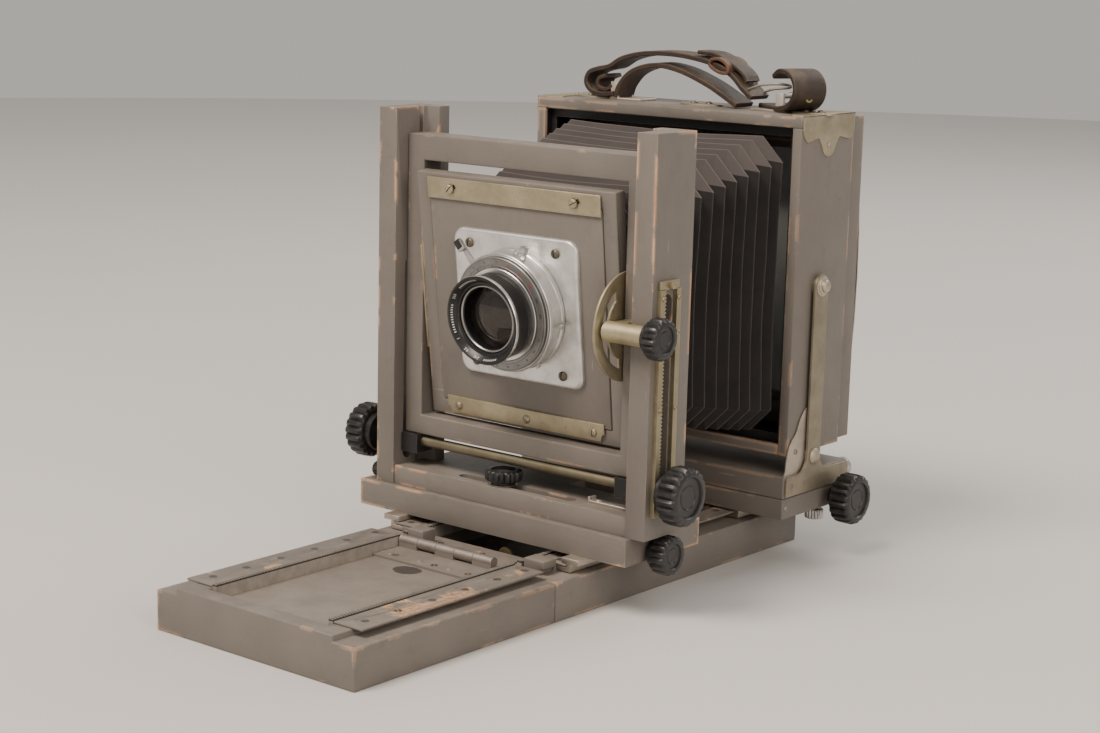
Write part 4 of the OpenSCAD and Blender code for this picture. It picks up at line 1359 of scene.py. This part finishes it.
@dataclass
class LensUnit:
    """Shutter, scales, levers and lens, about the lens axis."""

    panel: LensPanel
    centre: tuple[float, float] = (1.0, 3.0)
    case_y: float = -8.9
    ring_y: float = -21.9
    scale_y: float = -23.55
    barrel_y: float = -25.95
    ring_slope: float = 49.4

    def axis(self, y: float, roll: float = 0.0) -> Matrix:
        """A frame on the lens axis whose Z axis points out of the front.

        Args:
            y: its place along the axis in millimetres.
            roll: degrees about the axis, clockwise as seen from the front.

        Returns:
            The frame; its Y axis points up where roll is 0.
        """
        return (self.panel.matrix() @ Matrix.Translation(mm(self.centre[0], y, self.centre[1]))
                @ rotation(90, "X") @ rotation(-roll, "Z"))

    def turned(self, name: str, finish: Finish, body: str, y: float,
               profile: Outline, replaces: Sequence[str] = (), segments: int = 96,
               smooth: float = 28.0) -> bpy.types.Object:
        """A turned piece on the axis, its profile in millimetres of radius and height."""
        return joined(name, body, finish,
                      [shape(add_turned, in_mm(profile), self.axis(y), segments)],
                      replaces, smooth)

    def build(self) -> None:
        """Builds the lens unit."""
        self.case()
        self.rings()
        self.barrel()
        self.levers()
        self.marks()
        dress_node("rear_cell", BlackEnamel(0.3))

    def case(self) -> None:
        """Builds the shutter's stepped case."""
        profile = [(24.0, 0.0), (36.9, 0.0), (37.1, 0.25), (37.1, 2.2), (36.5, 2.6), (36.3, 2.9),
                   (36.3, 9.6), (36.5, 10.0), (36.5, 12.4), (36.1, 12.9), (35.2, 13.0), (28.5, 13.0),
                   (28.5, 16.6), (28.1, 17.0), (24.0, 17.0)]
        self.turned("shutter_case_turned", SatinAlloy(0.92, 0.55), "tilt_panel", self.case_y,
                    profile,
                    ("shutter_case",))

    def rings(self) -> None:
        """Builds the knurled cocking ring and the flat scale ring."""
        mesh = bmesh.new()
        profile = [(28.7, 0.25), (35.7, 0.25), (36.0, 0.5), (36.0, 1.1), (35.7, 1.35), (28.7, 1.35)]
        add_turned(mesh, in_mm(profile), self.axis(self.ring_y), 120)
        for low, high, wide, rise in ((34.0, 51.0, 2.3, 0.0), (45.0, 51.6, 2.7, 1.2)):
            part = bmesh.new()
            add_box(part, (-wide * MM, low * MM, (0.25 + rise) * MM),
                    (wide * MM, high * MM, (1.5 + rise * 2.2) * MM),
                    0.45 * MM, 2)
            for vert in part.verts:
                if vert.co.y > 44 * MM and rise == 0.0:
                    vert.co.x *= 0.75
            join(mesh, part, self.axis(self.ring_y, -36.0))
        finish_mesh(mesh, "cocking_lever_ring", SatinAlloy(0.62, 0.4), "cocking_lever",
                    replaces=("cocking_lever",))
        tip = bmesh.new()
        add_box(tip, mm(-2.4, 46.6, 1.7), mm(2.4, 52.4, 4.6), 0.7 * MM)
        bmesh.ops.transform(tip, matrix=self.axis(self.ring_y, -36.0), verts=tip.verts)
        finish_mesh(tip, "cocking_tip", BlackEnamel(0.3), "cocking_lever")
        profile = [(28.65, 0.0), (34.7, 0.0), (35.0, 0.3), (35.0, 1.1), (34.6, 1.6), (34.3, 1.6),
                   (34.2, 1.45), (34.0, 1.45), (33.9, 1.8), (33.5, 1.85), (30.6, 2.12), (30.5, 1.98),
                   (30.35, 1.98), (30.2, 2.15), (28.65, 2.15)]
        self.turned("speed_ring_bevelled", SatinAlloy(0.34, 0.0), "speed_ring", self.scale_y,
                    profile,
                    ("speed_ring",), 120)

    def barrel(self) -> None:
        """Builds the front barrel with its bright rim, inner steps and glass."""
        profile = [(25.4, 0.0), (25.9, 0.3), (26.1, 1.0), (26.1, 3.0), (25.7, 3.3), (25.7, 4.2), (26.2, 4.6),
                   (26.4, 12.2), (27.0, 13.4), (27.0, 15.2), (26.6, 15.9), (25.9, 16.05), (25.4, 15.8),
                   (23.0, 13.0), (22.7, 12.7), (22.4, 12.0), (21.4, 11.6), (21.2, 10.4), (20.2, 9.9),
                   (20.2, 0.0)]
        self.turned("front_barrel_turned", BlackEnamel(0.75), "tilt_panel", self.barrel_y,
                    profile,
                    ("front_barrel",))
        rim = [(27.05, 13.5), (27.3, 13.8), (27.3, 15.3), (27.0, 15.8), (26.9, 15.2), (26.9, 13.8)]
        self.turned("front_rim", SatinAlloy(0.95, 0.8), "tilt_panel", self.barrel_y, rim)
        ring = [(19.3, 9.2), (20.6, 9.2), (20.6, 10.6), (20.2, 10.9), (19.7, 10.9), (19.3, 10.5)]
        self.turned("glass_retainer", SatinAlloy(0.45, 0.5), "tilt_panel", self.barrel_y,
                    ring)
        dome = [(radius, 6.9 + math.sqrt(38.0 ** 2 - radius ** 2) - 38.0 + 2.2) for radius in
                (19.9, 18.0, 15.0, 11.0, 7.0, 3.0, 0.0)]
        self.turned("lens_front_glass", CoatedGlass((0.012, 0.009, 0.008)), "tilt_panel",
                    self.barrel_y,
                    [(0.0, 3.2), (19.9, 3.2)] + dome, ("lens_glass",), 96, 60.0)
        inner = [(0.0, 0.0), (13.0, 0.0), (13.5, 0.5), (13.5, 1.4), (12.2, 2.0), (0.0, 2.9)]
        self.turned("lens_inner_glass", CoatedGlass((0.045, 0.026, 0.012)), "tilt_panel",
                    -24.5, inner,
                    (), 72, 60.0)
        cone = [(0.0, -6.2), (9.6, -6.2), (10.4, -4.0), (13.6, -3.4), (14.4, -0.4), (18.6, 0.6), (19.9, 2.6),
                (20.1, 2.6), (20.1, -6.6), (0.0, -6.6)]
        self.turned("lens_inner_steps", BlackEnamel(0.15), "tilt_panel", self.barrel_y, cone,
                    (), 72)

    def levers(self) -> None:
        """Builds the release lever, the aperture pointer and two stops on the case."""

        def lever(mesh: bmesh.types.BMesh) -> None:
            """Adds the release lever's arm and its turned-up tip."""
            part = bmesh.new()
            add_box(part, mm(-1.9, 30.0, 0.0), mm(1.9, 44.5, 1.6), 0.4 * MM)
            add_box(part, mm(-2.3, 40.4, 1.2), mm(2.3, 44.6, 4.4), 0.5 * MM)
            join(mesh, part, self.axis(-16.2, 22.0))

        joined("release_lever_bent", "release_lever", SatinAlloy(0.8, 0.5), [lever],
               ("release_lever",))

        def pointer(mesh: bmesh.types.BMesh) -> None:
            """Adds the aperture pointer and two stops on the case."""
            for turn, length in ((98.0, 3.2), (10.0, 1.8), (150.0, 1.8)):
                part = bmesh.new()
                add_box(part, mm(-1.3, 35.6, 3.6), mm(1.3, 36.6 + length, 6.4), 0.35 * MM)
                join(mesh, part, self.axis(self.case_y, turn))

        joined("aperture_pointer", "tilt_panel", SatinAlloy(0.75, 0.5), [pointer])

    def marks(self) -> None:
        """Adds tick marks and plain numbers to the scale ring and the front ring."""
        black, red, white = Ink((0.012, 0.012, 0.012)), Ink((0.52, 0.03, 0.02)), Ink((0.78, 0.78, 0.76))
        for name, finish, turns in (("ticks_black", black, [-150 + 12.0 * i for i in range(17)]),
                                    ("ticks_red", red, [8.0 + 12.0 * i for i in range(5)])):
            joined(name, "speed_ring", finish,
                   [shape(self._tick, self.scale_y, 2.15, 28.9, 29.9 if i % 2 else 30.3, 0.17, turn)
                    for i, turn in enumerate(turns)])
        speeds = (("2", black), ("5", black), ("10", red), ("25", red), ("50", red), ("100", red),
                  ("200", black), ("400", black))
        for i, (text, finish) in enumerate(speeds):
            self._number("speed_%d" % i, text, 2.1, finish, "speed_ring", self.scale_y, 2.03, 32.2,
                         -34.0 + 17.0 * i)
        stops = ("4.5", "5.6", "8", "11", "16", "22", "32", "45")
        for i, text in enumerate(stops):
            self._number("stop_%d" % i, text, 1.9, black, "speed_ring", self.scale_y, 2.03, 32.2,
                         112.0 + 15.0 * i)
        for i, (text, turn) in enumerate((("210", 196.0), ("4.5", 216.0), ("1", 236.0), ("210", 300.0))):
            self._number("front_%d" % i, text, 2.5, white, "tilt_panel", self.barrel_y, 14.82, 24.45, turn,
                         self.ring_slope)
        joined("front_ring_ticks", "tilt_panel", white,
               [shape(self._tick, self.barrel_y, 14.80, 23.75, 25.1, 0.26, turn, self.ring_slope)
                for turn in [246.0 + 3.6 * i for i in range(12)] + [318.0 + 3.6 * i for i in range(10)]
                + [160.0 + 3.6 * i for i in range(7)]])

    def _tick(self, mesh: bmesh.types.BMesh, y: float, rise: float, low: float, high: float, half: float,
              turn: float, slope: float = 0.0) -> None:
        """Adds one tick that lies on a ring.

        Args:
            mesh: the mesh to add to.
            y: the ring's place along the axis in millimetres.
            rise: how far the tick lies in front of that.
            low: the radius where it starts.
            high: the radius where it ends.
            half: half its width.
            turn: its angle about the axis, in degrees.
            slope: how steep the ring's face is, in degrees.
        """
        part = bmesh.new()
        add_box(part, mm(-half, low - (low + high) / 2, -0.03), mm(half, high - (low + high) / 2, 0.05))
        place = Matrix.Translation(mm(0, (low + high) / 2, rise)) @ rotation(slope, "X")
        join(mesh, part, self.axis(y, turn) @ place)

    def _number(self, name: str, text: str, height: float, finish: Finish, body: str, y: float, rise: float,
                radius: float, turn: float, slope: float = 0.0) -> None:
        """Adds a plain number that lies on a ring.

        Args:
            name: the piece's name after number_.
            text: the number.
            height: its height in millimetres.
            finish: its finish.
            body: its body.
            y: the ring's place along the axis in millimetres.
            rise: how far the number lies in front of that.
            radius: how far it is from the axis.
            turn: its angle about the axis, in degrees.
            slope: how steep the ring's face is, in degrees.
        """
        curve = bpy.data.curves.new(name, "FONT")
        curve.body, curve.size, curve.extrude = text, height * MM, 0.04 * MM
        curve.align_x, curve.align_y, curve.resolution_u = "CENTER", "CENTER", 2
        holder = bpy.data.objects.new(name, curve)
        bpy.context.scene.collection.objects.link(holder)
        bpy.context.view_layer.update()
        data = bpy.data.meshes.new_from_object(holder.evaluated_get(bpy.context.evaluated_depsgraph_get()))
        mesh = bmesh.new()
        mesh.from_mesh(data)
        bpy.data.objects.remove(holder)
        bpy.data.meshes.remove(data)
        bpy.data.curves.remove(curve)
        place = Matrix.Translation(mm(0, radius, rise)) @ rotation(slope, "X")
        bmesh.ops.transform(mesh, matrix=self.axis(y, turn) @ place, verts=mesh.verts)
        finish_mesh(mesh, "number_" + name, finish, body)


@dataclass
class Bellows:
    """Fourteen pleats of black cloth, built in lengths, each listed with a front body, a rear body and its
    count of pleats.
    """

    start: Point = (10.7, -66.0, 174.5)
    stop: Point = (0.0, 83.0, 179.5)
    half_front: tuple[float, float] = (64.0, 64.5)
    half_rear: tuple[float, float] = (93.5, 95.5)
    pleats: int = 14
    lengths: tuple[tuple[str, str, int], ...] = (
        ("tilt_panel", "rising_frame", 2), ("rising_frame", "front_standard", 3),
        ("front_standard", "front_carriage", 1), ("front_carriage", "bed_main", 3),
        ("bed_main", "rear_carriage", 3),
        ("rear_carriage", "rear_swing", 1), ("rear_swing", "rear_frame", 1))

    def centre(self, share: float) -> Vector:
        """The bellows' centre at a share of its length, in millimetres."""
        return Vector(self.start).lerp(Vector(self.stop), share)

    def ring(self, share: float, inset: float, chamfer: float) -> list[Vector]:
        """One loop of the cloth.

        Args:
            share: its share of the length.
            inset: how far it lies inside the outer taper, in millimetres.
            chamfer: how much is cut off its corners.

        Returns:
            The loop's points in metres.
        """
        middle = self.centre(share)
        grow = 1.0 - (1.0 - share) ** 1.12
        wide = self.half_front[0] + (self.half_rear[0] - self.half_front[0]) * grow - inset
        tall = self.half_front[1] + (self.half_rear[1] - self.half_front[1]) * grow - inset
        corners = []
        for sx, sz in ((1, -1), (1, 1), (-1, 1), (-1, -1)):
            first, second = (wide, tall - chamfer), (wide - chamfer, tall)
            order = (second, first) if sx * sz < 0 else (first, second)
            corners += [Vector((sx * x, 0.0, sz * z)) for x, z in order]
        points = []
        for k, corner in enumerate(corners):
            following = corners[(k + 1) % len(corners)]
            steps = 8 if k % 2 else 2
            for i in range(steps):
                point = corner.lerp(following, i / steps)
                bow = math.sin(math.pi * i / steps) if steps > 2 else 0.0
                wave = noise.noise(Vector((point.x * 0.02, share * 9.0, point.z * 0.02)))
                point *= 1.0 - 0.018 * bow + 0.010 * wave * bow
                points.append((middle + point + Vector((0.0, 0.9 * wave, 0.0))) * MM)
        return points

    def build(self) -> None:
        """Builds every length."""
        first = 0
        for index, (front, rear, count) in enumerate(self.lengths):
            mesh = bmesh.new()
            loops = []
            for pleat in range(first, first + count):
                share, step = pleat / self.pleats, 1.0 / self.pleats
                loops.append(self.ring(share, 9.5, 4.0))
                for part, inset, cut in ((0.03, 9.1, 4.2), (0.46, 0.25, 15.4), (0.50, 0.0, 16.0),
                                         (0.54, 0.25, 15.4), (0.97, 9.1, 4.2)):
                    loops.append(self.ring(share + part * step, inset, cut))
            loops.append(self.ring((first + count) / self.pleats, 9.5, 4.0))
            edges = []
            for loop in loops:
                verts = [mesh.verts.new(point) for point in loop]
                edges.append([mesh.edges.new((verts[k], verts[(k + 1) % len(verts)]))
                              for k in range(len(verts))])
            for one, two in zip(edges, edges[1:]):
                bmesh.ops.bridge_loops(mesh, edges=one + two)
            start = self.centre(first / self.pleats) * MM
            first += count
            replaced = ("bellows",) if index == 0 else ()
            piece = finish_mesh(mesh, "bellows_%d" % index, BellowsCloth(), front, 22.0,
                                replaced, ride=False)
            skin = piece.modifiers.new("skin", "SOLIDIFY")
            skin.thickness, skin.offset = 0.0007, -1.0
            self.centre(first / self.pleats) * MM
            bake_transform(piece)


@dataclass
class RearCarriage:
    """The rear sliding carriage with its drive, lock and swing plate."""

    def build(self) -> None:
        """Builds the carriage and swing plate."""
        softened_copy("rear_carriage", "rear_carriage", GrayPaint(Axis.X, 0.6), 0.0009)
        softened_copy("swing_plate", "rear_swing", GrayPaint(Axis.X, 0.6), 0.0009)
        softened_copy("rear_gibs", "rear_carriage", OldNickel(1.0, 0.9), 0.0004)
        dress_node("rear_focus_shaft", BrightSteel())
        joined("rear_focus_ribbed", "rear_focus_shaft", Bakelite(),
               [shape(add_knob, towards((side, 0, 0), mm(side * 110.1, 128.8, 38.25), 7.0),
                      16.5 * MM, 21 * MM, 20, 5.8 * MM, 6.4 * MM) for side in (-1, 1)],
               replaces=("rear_focus_knob",))
        self.lock_nut()
        joined("swing_stud", "rear_swing", BrightSteel(0.1),
               [shape(add_turned, [(r * MM, h * MM) for r, h in
                                   ((0, 0), (5.8, 0), (6.2, 0.4), (6.2, 7.0), (5.6, 8.0), (4.0, 8.5),
                                    (0, 8.7))],
                      towards((0, 1, 0), mm(101.8, 148.2, 52.0)), 40)])
        screws("carriage_end_screws", "rear_carriage", OldNickel(1.0, 0.7),
               [((side * 108.65, y, 38.0), (side, 0, 0)) for side in (-1, 1) for y in (76.5, 144.0)], 2.0,
               Head.OVAL, 8)

    def lock_nut(self) -> None:
        """Builds the bright ribbed nut under the carriage."""
        joined("lock_nut_ribbed", "rear_lock_nut", BrightSteel(),
               [shape(add_knob, towards((0, 0, -1), mm(99, 126, 30.6)), 6.2 * MM, 9.4 * MM, 16,
                      3.4 * MM, 2.6 * MM, 0.5)], replaces=("rear_lock_nut",))


@dataclass
class RearFrame:
    """The deep rear frame with straps, guards, handle and back."""

    half: float = 106.1
    wall: float = 7.0
    front: float = 78.2
    rear: float = 139.6
    low: float = 71.5
    top: float = 287.4
    pivot: tuple[float, float] = (104.2, 179.8)

    def build(self) -> None:
        """Builds the frame."""
        self.boards()
        self.lining()
        self.straps()
        self.guards()
        self.handle()
        self.back()

    def boards(self) -> None:
        """Builds the frame's four boards, its rear rebate and the pivots' spacers."""
        soften, seam, out, inside = 0.0008, 0.02, self.half, self.half - self.wall
        front, rear, low, shoulder = self.front, self.rear, self.low, self.top - self.wall

        def uprights(mesh: bmesh.types.BMesh) -> None:
            """Adds the two side boards."""
            for side in (-1, 1):
                near, far = sorted((side * out, side * inside))
                add_box(mesh, mm(near, front, low), mm(far, rear, shoulder + seam), soften)

        def ends(mesh: bmesh.types.BMesh) -> None:
            """Adds the top and bottom boards and the rebate that the back rests on."""
            add_box(mesh, mm(-out, front, shoulder), mm(out, rear, self.top), soften)
            add_box(mesh, mm(-inside, front + 0.05, low), mm(inside, rear, low + self.wall), soften)
            reach, opening, under, over = 98.9, 86.1, 92.5, 266.5
            for left, bottom, right, high in ((-reach, over, reach, 280.2), (-reach, 78.7, reach, under),
                                              (-reach, under, -opening, over),
                                              (opening, under, reach, over)):
                add_box(mesh, mm(left, rear - 8.0, bottom), mm(right, rear - 0.3, high), soften / 2)

        def spacers(mesh: bmesh.types.BMesh) -> None:
            """Adds the two washers between frame and straps."""
            for side in (-1, 1):
                place = towards((side, 0, 0), mm(side * out, *self.pivot))
                add_turned(mesh, in_mm([(0, 0), (6, 0), (6, 2.4), (0, 2.4)]), place, 32)

        joined("rear_frame_sides", "rear_frame", GrayPaint(Axis.Z, 0.66), [uprights],
               ("rear_frame",))
        joined("rear_frame_ends", "rear_frame", GrayPaint(Axis.X, 0.72), [ends])
        joined("pivot_spacers", "rear_frame", OldNickel(1.1, 0.7), [spacers])

    def lining(self) -> None:
        """Adds thin black sheets against the frame's inner walls, painted shade for the recess between
        bellows and frame, and the black board that the bellows ends on.
        """
        low, high, near, far = self.low + self.wall + 0.1, self.top - self.wall - 0.1, 80.0, 137.5

        def walls(mesh: bmesh.types.BMesh) -> None:
            """Adds four thin black walls of painted shade and the four sides of the end board."""
            for side in (-1, 1):
                lining = sorted((side * 98.6, side * 99.05))
                board = sorted((side * 94.5, side * 98.6))
                add_box(mesh, mm(lining[0], near, low), mm(lining[1], far, high))
                add_box(mesh, mm(board[0], 84.8, low), mm(board[1], 85.4, high))
            for start, stop, first, last in ((low, low + 0.4, near, far), (high - 0.4, high, near, far),
                                             (low, 84.0, 84.9, 85.3), (274.5, high, 84.9, 85.3)):
                add_box(mesh, mm(-98.6, first, start), mm(98.6, last, stop))

        # painted shade: black sheets that keep the frame's inside dark where shade falls
        joined("frame_shade_lining", "rear_frame", BlackEnamel(0.0), [walls])

    def straps(self) -> None:
        """Builds the side straps with flared feet, rivets and screws."""
        foot = [(74.0, 46.0), (146.0, 46.0), (147.0, 47.2), (147.0, 56.0), (146.0, 58.6)]
        rear_fillet = arc((121.7, 68.6), 10.0, -90, -180, 6)
        top = arc(self.pivot, 7.5, 0, 180, 12)
        front_fillet = arc((84.7, 70.6), 12.0, 0, -90, 7)
        outline = foot + rear_fillet + top + front_fillet
        outline += [(75.0, 58.6), (73.6, 57.4), (73.2, 55.8), (73.2, 46.8)]
        for side, name in SIDES:
            place = flank(side, 108.65)
            joined("side_strap_" + name, "rear_swing", OldNickel(1.15, 0.62),
                   [shape(add_plate, in_mm(outline), 1.6 * MM, place,
                          0.35 * MM)],
                   replaces=("side_straps",) if name == "r" else ())
            self.rivets(side, name)
            self.slotted_plate(side, name)

    def rivets(self, side: int, name: str) -> None:
        """Adds the pivot rivet with its washers, the lower rivet and the foot's screws."""
        dome = [(0, 0), (6.6, 0), (6.7, 0.5), (5.9, 0.8), (5.6, 0.9), (5.5, 1.5), (5.0, 1.9), (4.2, 2.1),
                (4.1, 3.2), (3.6, 3.9), (2.4, 4.4), (0, 4.6)]
        low = [(0, 0), (5.4, 0), (5.4, 0.7), (4.4, 1.9), (2.6, 2.7), (0, 3.0)]
        out = (side, 0, 0)
        joined("pivot_rivet_" + name, "rear_frame", OldNickel(1.1, 0.95),
               [shape(add_turned, in_mm(dome),
                      towards(out, mm(side * 110.3, *self.pivot)), 40)])
        joined("foot_rivet_" + name, "rear_swing", OldNickel(1.1, 0.9),
               [shape(add_turned, in_mm(low),
                      towards(out, mm(side * 110.2, 104.2, 68.5)), 32)])
        screws("foot_screws_" + name, "rear_swing", OldNickel(1.1, 0.6),
               [((side * 110.25, y, z), out)
                for y, z in ((79.0, 52.5), (93.5, 52.8), (111.0, 54.0), (139.0, 52.5))],
               2.3, Head.FLAT, 9)

    def slotted_plate(self, side: int, name: str) -> None:
        """Adds the thin wavy plate that stops the frame's tilt."""
        outline = [(74.0, 59.4), (97.5, 59.4), (97.5, 101.0), (95.0, 99.5), (92.2, 96.0), (89.6, 92.2),
                   (87.8, 88.0), (85.8, 84.6), (82.6, 81.8), (79.6, 78.2), (77.4, 73.6), (76.2, 68.4),
                   (75.8, 63.0)]
        place = flank(side, 106.75)
        joined("tilt_stop_" + name, "rear_swing", OldNickel(1.0, 0.95),
               [shape(add_plate, in_mm(outline), 0.9 * MM, place, 0.2 * MM)])
        screws("tilt_stop_screw_" + name, "rear_swing", OldNickel(1.0, 0.6),
               [((side * 107.65, 86.0, 74.0), (side, 0, 0))], 1.9, Head.ROUND, 10)

    def guards(self) -> None:
        """Builds the scalloped guards of the upper corners."""
        for side, name in SIDES:
            face = [(79.2, 288.3), (138.6, 288.3), (138.6, 279.0)]
            for (y, z), r, a, b in (((130.6, 279.0), 8.0, 0, -70), ((122.0, 270.5), 3.2, 60, 150)):
                face += arc((y, z), r, a, b, 4)
            face += arc((108.9, 269.0), 7.6, -10, -170, 8)
            mirror = [(217.8 - y, z) for y, z in face[3:12]]
            face += list(reversed(mirror)) + [(79.2, 279.0)]
            side_place = flank(side, self.half)
            cap = [(79.2, 0.0), (138.6, 0.0), (138.6, 9.0), (130.0, 15.0), (119.0, 13.0), (108.9, 18.0),
                   (98.8, 13.0), (87.8, 15.0), (79.2, 9.0)]
            top_place = Matrix.Translation(mm(side * 107.0, 0, self.top)) @ Matrix(
                ((0, -side, 0, 0), (1, 0, 0, 0), (0, 0, 1, 0), (0, 0, 0, 1)))
            joined("corner_guard_" + name, "rear_frame", OldNickel(1.2, 0.8),
                   [shape(add_plate, in_mm(face), 0.9 * MM, side_place, 0.25 * MM),
                    shape(add_plate, in_mm(cap), 0.9 * MM, top_place, 0.25 * MM)],
                   replaces=("corner_guards",) if name == "r" else ())
            screws("guard_screws_" + name, "rear_frame", OldNickel(1.1, 0.8),
                   [((side * 107.0, 108.9, 268.6), (side, 0, 0)),
                    ((side * 95.0, 108.9, self.top + 0.9), (0, 0, 1))],
                   2.0, Head.ROUND, 12)

    def handle(self) -> None:
        """Builds the carrying handle's straps, curls, ring and plates."""
        leather = OldLeather(0.1)
        side = Vector((0, 1, 0))
        y = 109.2

        def strap(mesh: bmesh.types.BMesh, points: Outline, wide: float, thick: float,
                  shift: float = 0.0, taper: float = 1.0, aslant: Optional[float] = None) -> None:
            """Sweeps a strap through points.

            Args:
                mesh: the mesh to add to.
                points: X and Z of each point in millimetres.
                wide: its width.
                thick: its thickness.
                shift: how far it lies behind the handle's middle line.
                taper: its width at the end, as a share of that at the start.
                aslant: X of the upright line that it is turned about, if it is turned.
            """
            turn = Matrix.Rotation(math.radians(0.0 if aslant is None else -30.0), 3, "Z")
            pivot = Vector((aslant or 0.0, y + shift, 0.0))
            path = curve_through([(pivot + turn @ Vector((x - pivot.x, 0.0, z))) * MM for x, z in points], 6)

            def section(share: float) -> Outline:
                """The strap's rounded section."""
                w = wide / 2 * (1.0 + (taper - 1.0) * share) * MM
                t = thick / 2 * MM
                soft = 0.55 * MM
                return ((-w, -t + soft), (-w + soft, -t), (0, -t), (w - soft, -t), (w, -t + soft),
                        (w, t - soft),
                        (w - soft, t), (0, t), (-w + soft, t), (-w, t - soft))

            swept(mesh, path, section, turn @ side)

        lower = [(-57.0, 289.2), (-54.0, 297.0), (-46.0, 305.5), (-34.0, 310.5), (-20.0, 312.0),
                 (-2.0, 308.8), (18.0, 301.5), (32.0, 294.5), (41.0, 289.6)]
        joined("handle_lower_strap", "rear_frame", OldLeather(0.3),
               [shape(strap, lower, 20.0, 3.2)], ("handle_strap",))
        upper = [(-58.0, 291.5), (-68.0, 290.6), (-77.0, 292.6), (-81.5, 298.0), (-79.0, 304.5),
                 (-71.0, 307.5), (-62.0, 309.5), (-52.0, 315.0), (-38.0, 318.6), (-22.0, 320.0),
                 (-4.0, 319.6), (14.0, 317.2), (28.0, 313.6), (38.0, 308.0), (46.0, 300.5), (53.0, 295.2)]
        joined("handle_upper_strap", "rear_frame", leather,
               [shape(strap, upper, 20.5, 3.2, -0.6)])
        curl = [(54.0, 290.0), (66.0, 289.4), (80.0, 289.8), (92.0, 292.4), (99.5, 298.0), (100.8, 304.8),
                (96.0, 310.6), (87.0, 313.4), (77.0, 313.0), (70.0, 309.6)]
        joined("handle_curl", "rear_frame", leather,
               [shape(strap, curl, 23.5, 3.4, -0.4, 0.92, 78.0)])
        inner = [(-66.0, 303.0), (-72.0, 300.5), (-72.5, 295.5), (-66.0, 293.6), (-60.0, 296.5)]
        joined("handle_inner_curl", "rear_frame", OldLeather(0.4),
               [shape(strap, inner, 18.0, 2.8)])
        keeper = [(22.0, 318.2), (28.0, 318.6), (34.0, 315.4), (35.0, 310.6), (30.0, 310.0), (24.0, 312.2),
                  (20.6, 315.0), (22.0, 318.2)]
        joined("handle_keeper", "rear_frame", OldLeather(1.6),
               [shape(strap, keeper, 23.5, 2.2, -0.5)])
        tongue = [(8.0, 322.2), (22.0, 321.0), (36.0, 314.8), (44.0, 309.4), (47.0, 305.0)]
        joined("handle_tongue", "rear_frame", leather, [shape(strap, tongue, 15.0, 2.4)])
        self.handle_metal(y)

    def handle_metal(self, y: float) -> None:
        """Adds the handle's loops, ring, oval bases and eyelet."""

        def wire(mesh: bmesh.types.BMesh, points: Sequence[Sequence[float]], radius: float) -> None:
            """Sweeps a round wire through points."""
            path = curve_through([mm(*point) for point in points], 5)
            swept(mesh, path, lambda share: [(radius * MM * math.cos(a), radius * MM * math.sin(a)) for a in
                                             (math.tau * k / 10 for k in range(10))], Vector((0, 1, 0)))

        ring = [(48.0, y - 7, 300.0), (58.0, y - 8, 303.5), (70.0, y - 7, 305.0), (76.0, y, 304.0),
                (70.0, y + 7, 302.0), (58.0, y + 8, 300.5), (48.0, y + 7, 297.5), (45.6, y, 297.8),
                (48.0, y - 7, 300.0)]
        joined("handle_ring", "rear_frame", OldNickel(1.0, 0.8),
               [shape(wire, ring, 0.9)])

        def base(mesh: bmesh.types.BMesh, x: float) -> None:
            """Adds an oval base plate with its raised loop."""
            outline = [(px * 1.7, py) for px, py in arc((0.0, 0.0), 9.5, 0, 345, 23)]
            add_plate(mesh, in_mm(outline), 1.3 * MM,
                      Matrix.Translation(mm(x, y, self.top)), 0.35 * MM)

        joined("handle_bases", "rear_frame", OldNickel(1.15, 0.75),
               [shape(base, x) for x in (-78.0, 8.0, 94.0)])
        softened_copy("handle_brackets", "rear_frame", OldNickel(1.0, 1.0), 0.0003)
        screws("handle_screws", "rear_frame", OldNickel(1.1, 0.5),
               [((x, y, self.top + 1.25), (0, 0, 1)) for x in (-84.0, -72.0, 2.0, 14.0, 88.0, 100.0)], 2.6,
               Head.ROUND, 13)
        joined("handle_eyelet", "rear_frame", OldNickel(1.6, 0.7),
               [shape(add_turned, in_mm([(1.2, 0), (2.3, 0), (2.3, 0.5), (1.2, 0.5)]),
                      towards((0.82, -0.47, -0.30), mm(97.6, y - 11.4, 297.4)), 24)])

    def back(self) -> None:
        """Builds the sliding back with its springs and focusing glass."""
        softened_copy("back_frame", "back", GrayPaint(Axis.X, 0.6), 0.0008)
        dress_node("ground_glass", GroundGlass())
        bars = []
        for side in (-1, 1):
            place = flank(side, 94.0)
            outline = [(155.2, 110.0), (158.6, 150.0), (159.4, 179.0), (158.6, 208.0), (155.2, 248.0),
                       (155.9, 248.2), (159.4, 208.4), (160.2, 179.0), (159.4, 149.6), (155.9, 109.8)]
            bars.append(shape(add_plate, in_mm(outline), 8.0 * MM, place))
        joined("back_springs", "back", OldNickel(1.0, 1.0), bars, smooth=50.0)
        screws("back_screws", "back", OldNickel(1.1, 0.8),
               [((side * 98.0, 155.0, z), (0, 1, 0)) for side in (-1, 1)
                for z in (95.0, 104.0, 254.0, 263.0)],
               2.2, Head.ROUND, 14)


# ---------------------------------------------------------------- whole camera


def main() -> None:
    """Builds the studio and every sub-assembly, in order."""
    logging.basicConfig(level=logging.INFO, format="%(message)s")
    panel = LensPanel()
    for part in (Studio(), Bed(), FrontCarriage(), FrontStandard(), RisingFrame(), panel, LensUnit(panel),
                 Bellows(),
                 RearCarriage(), RearFrame()):
        part.build()


if __name__ == "__main__":
    main()
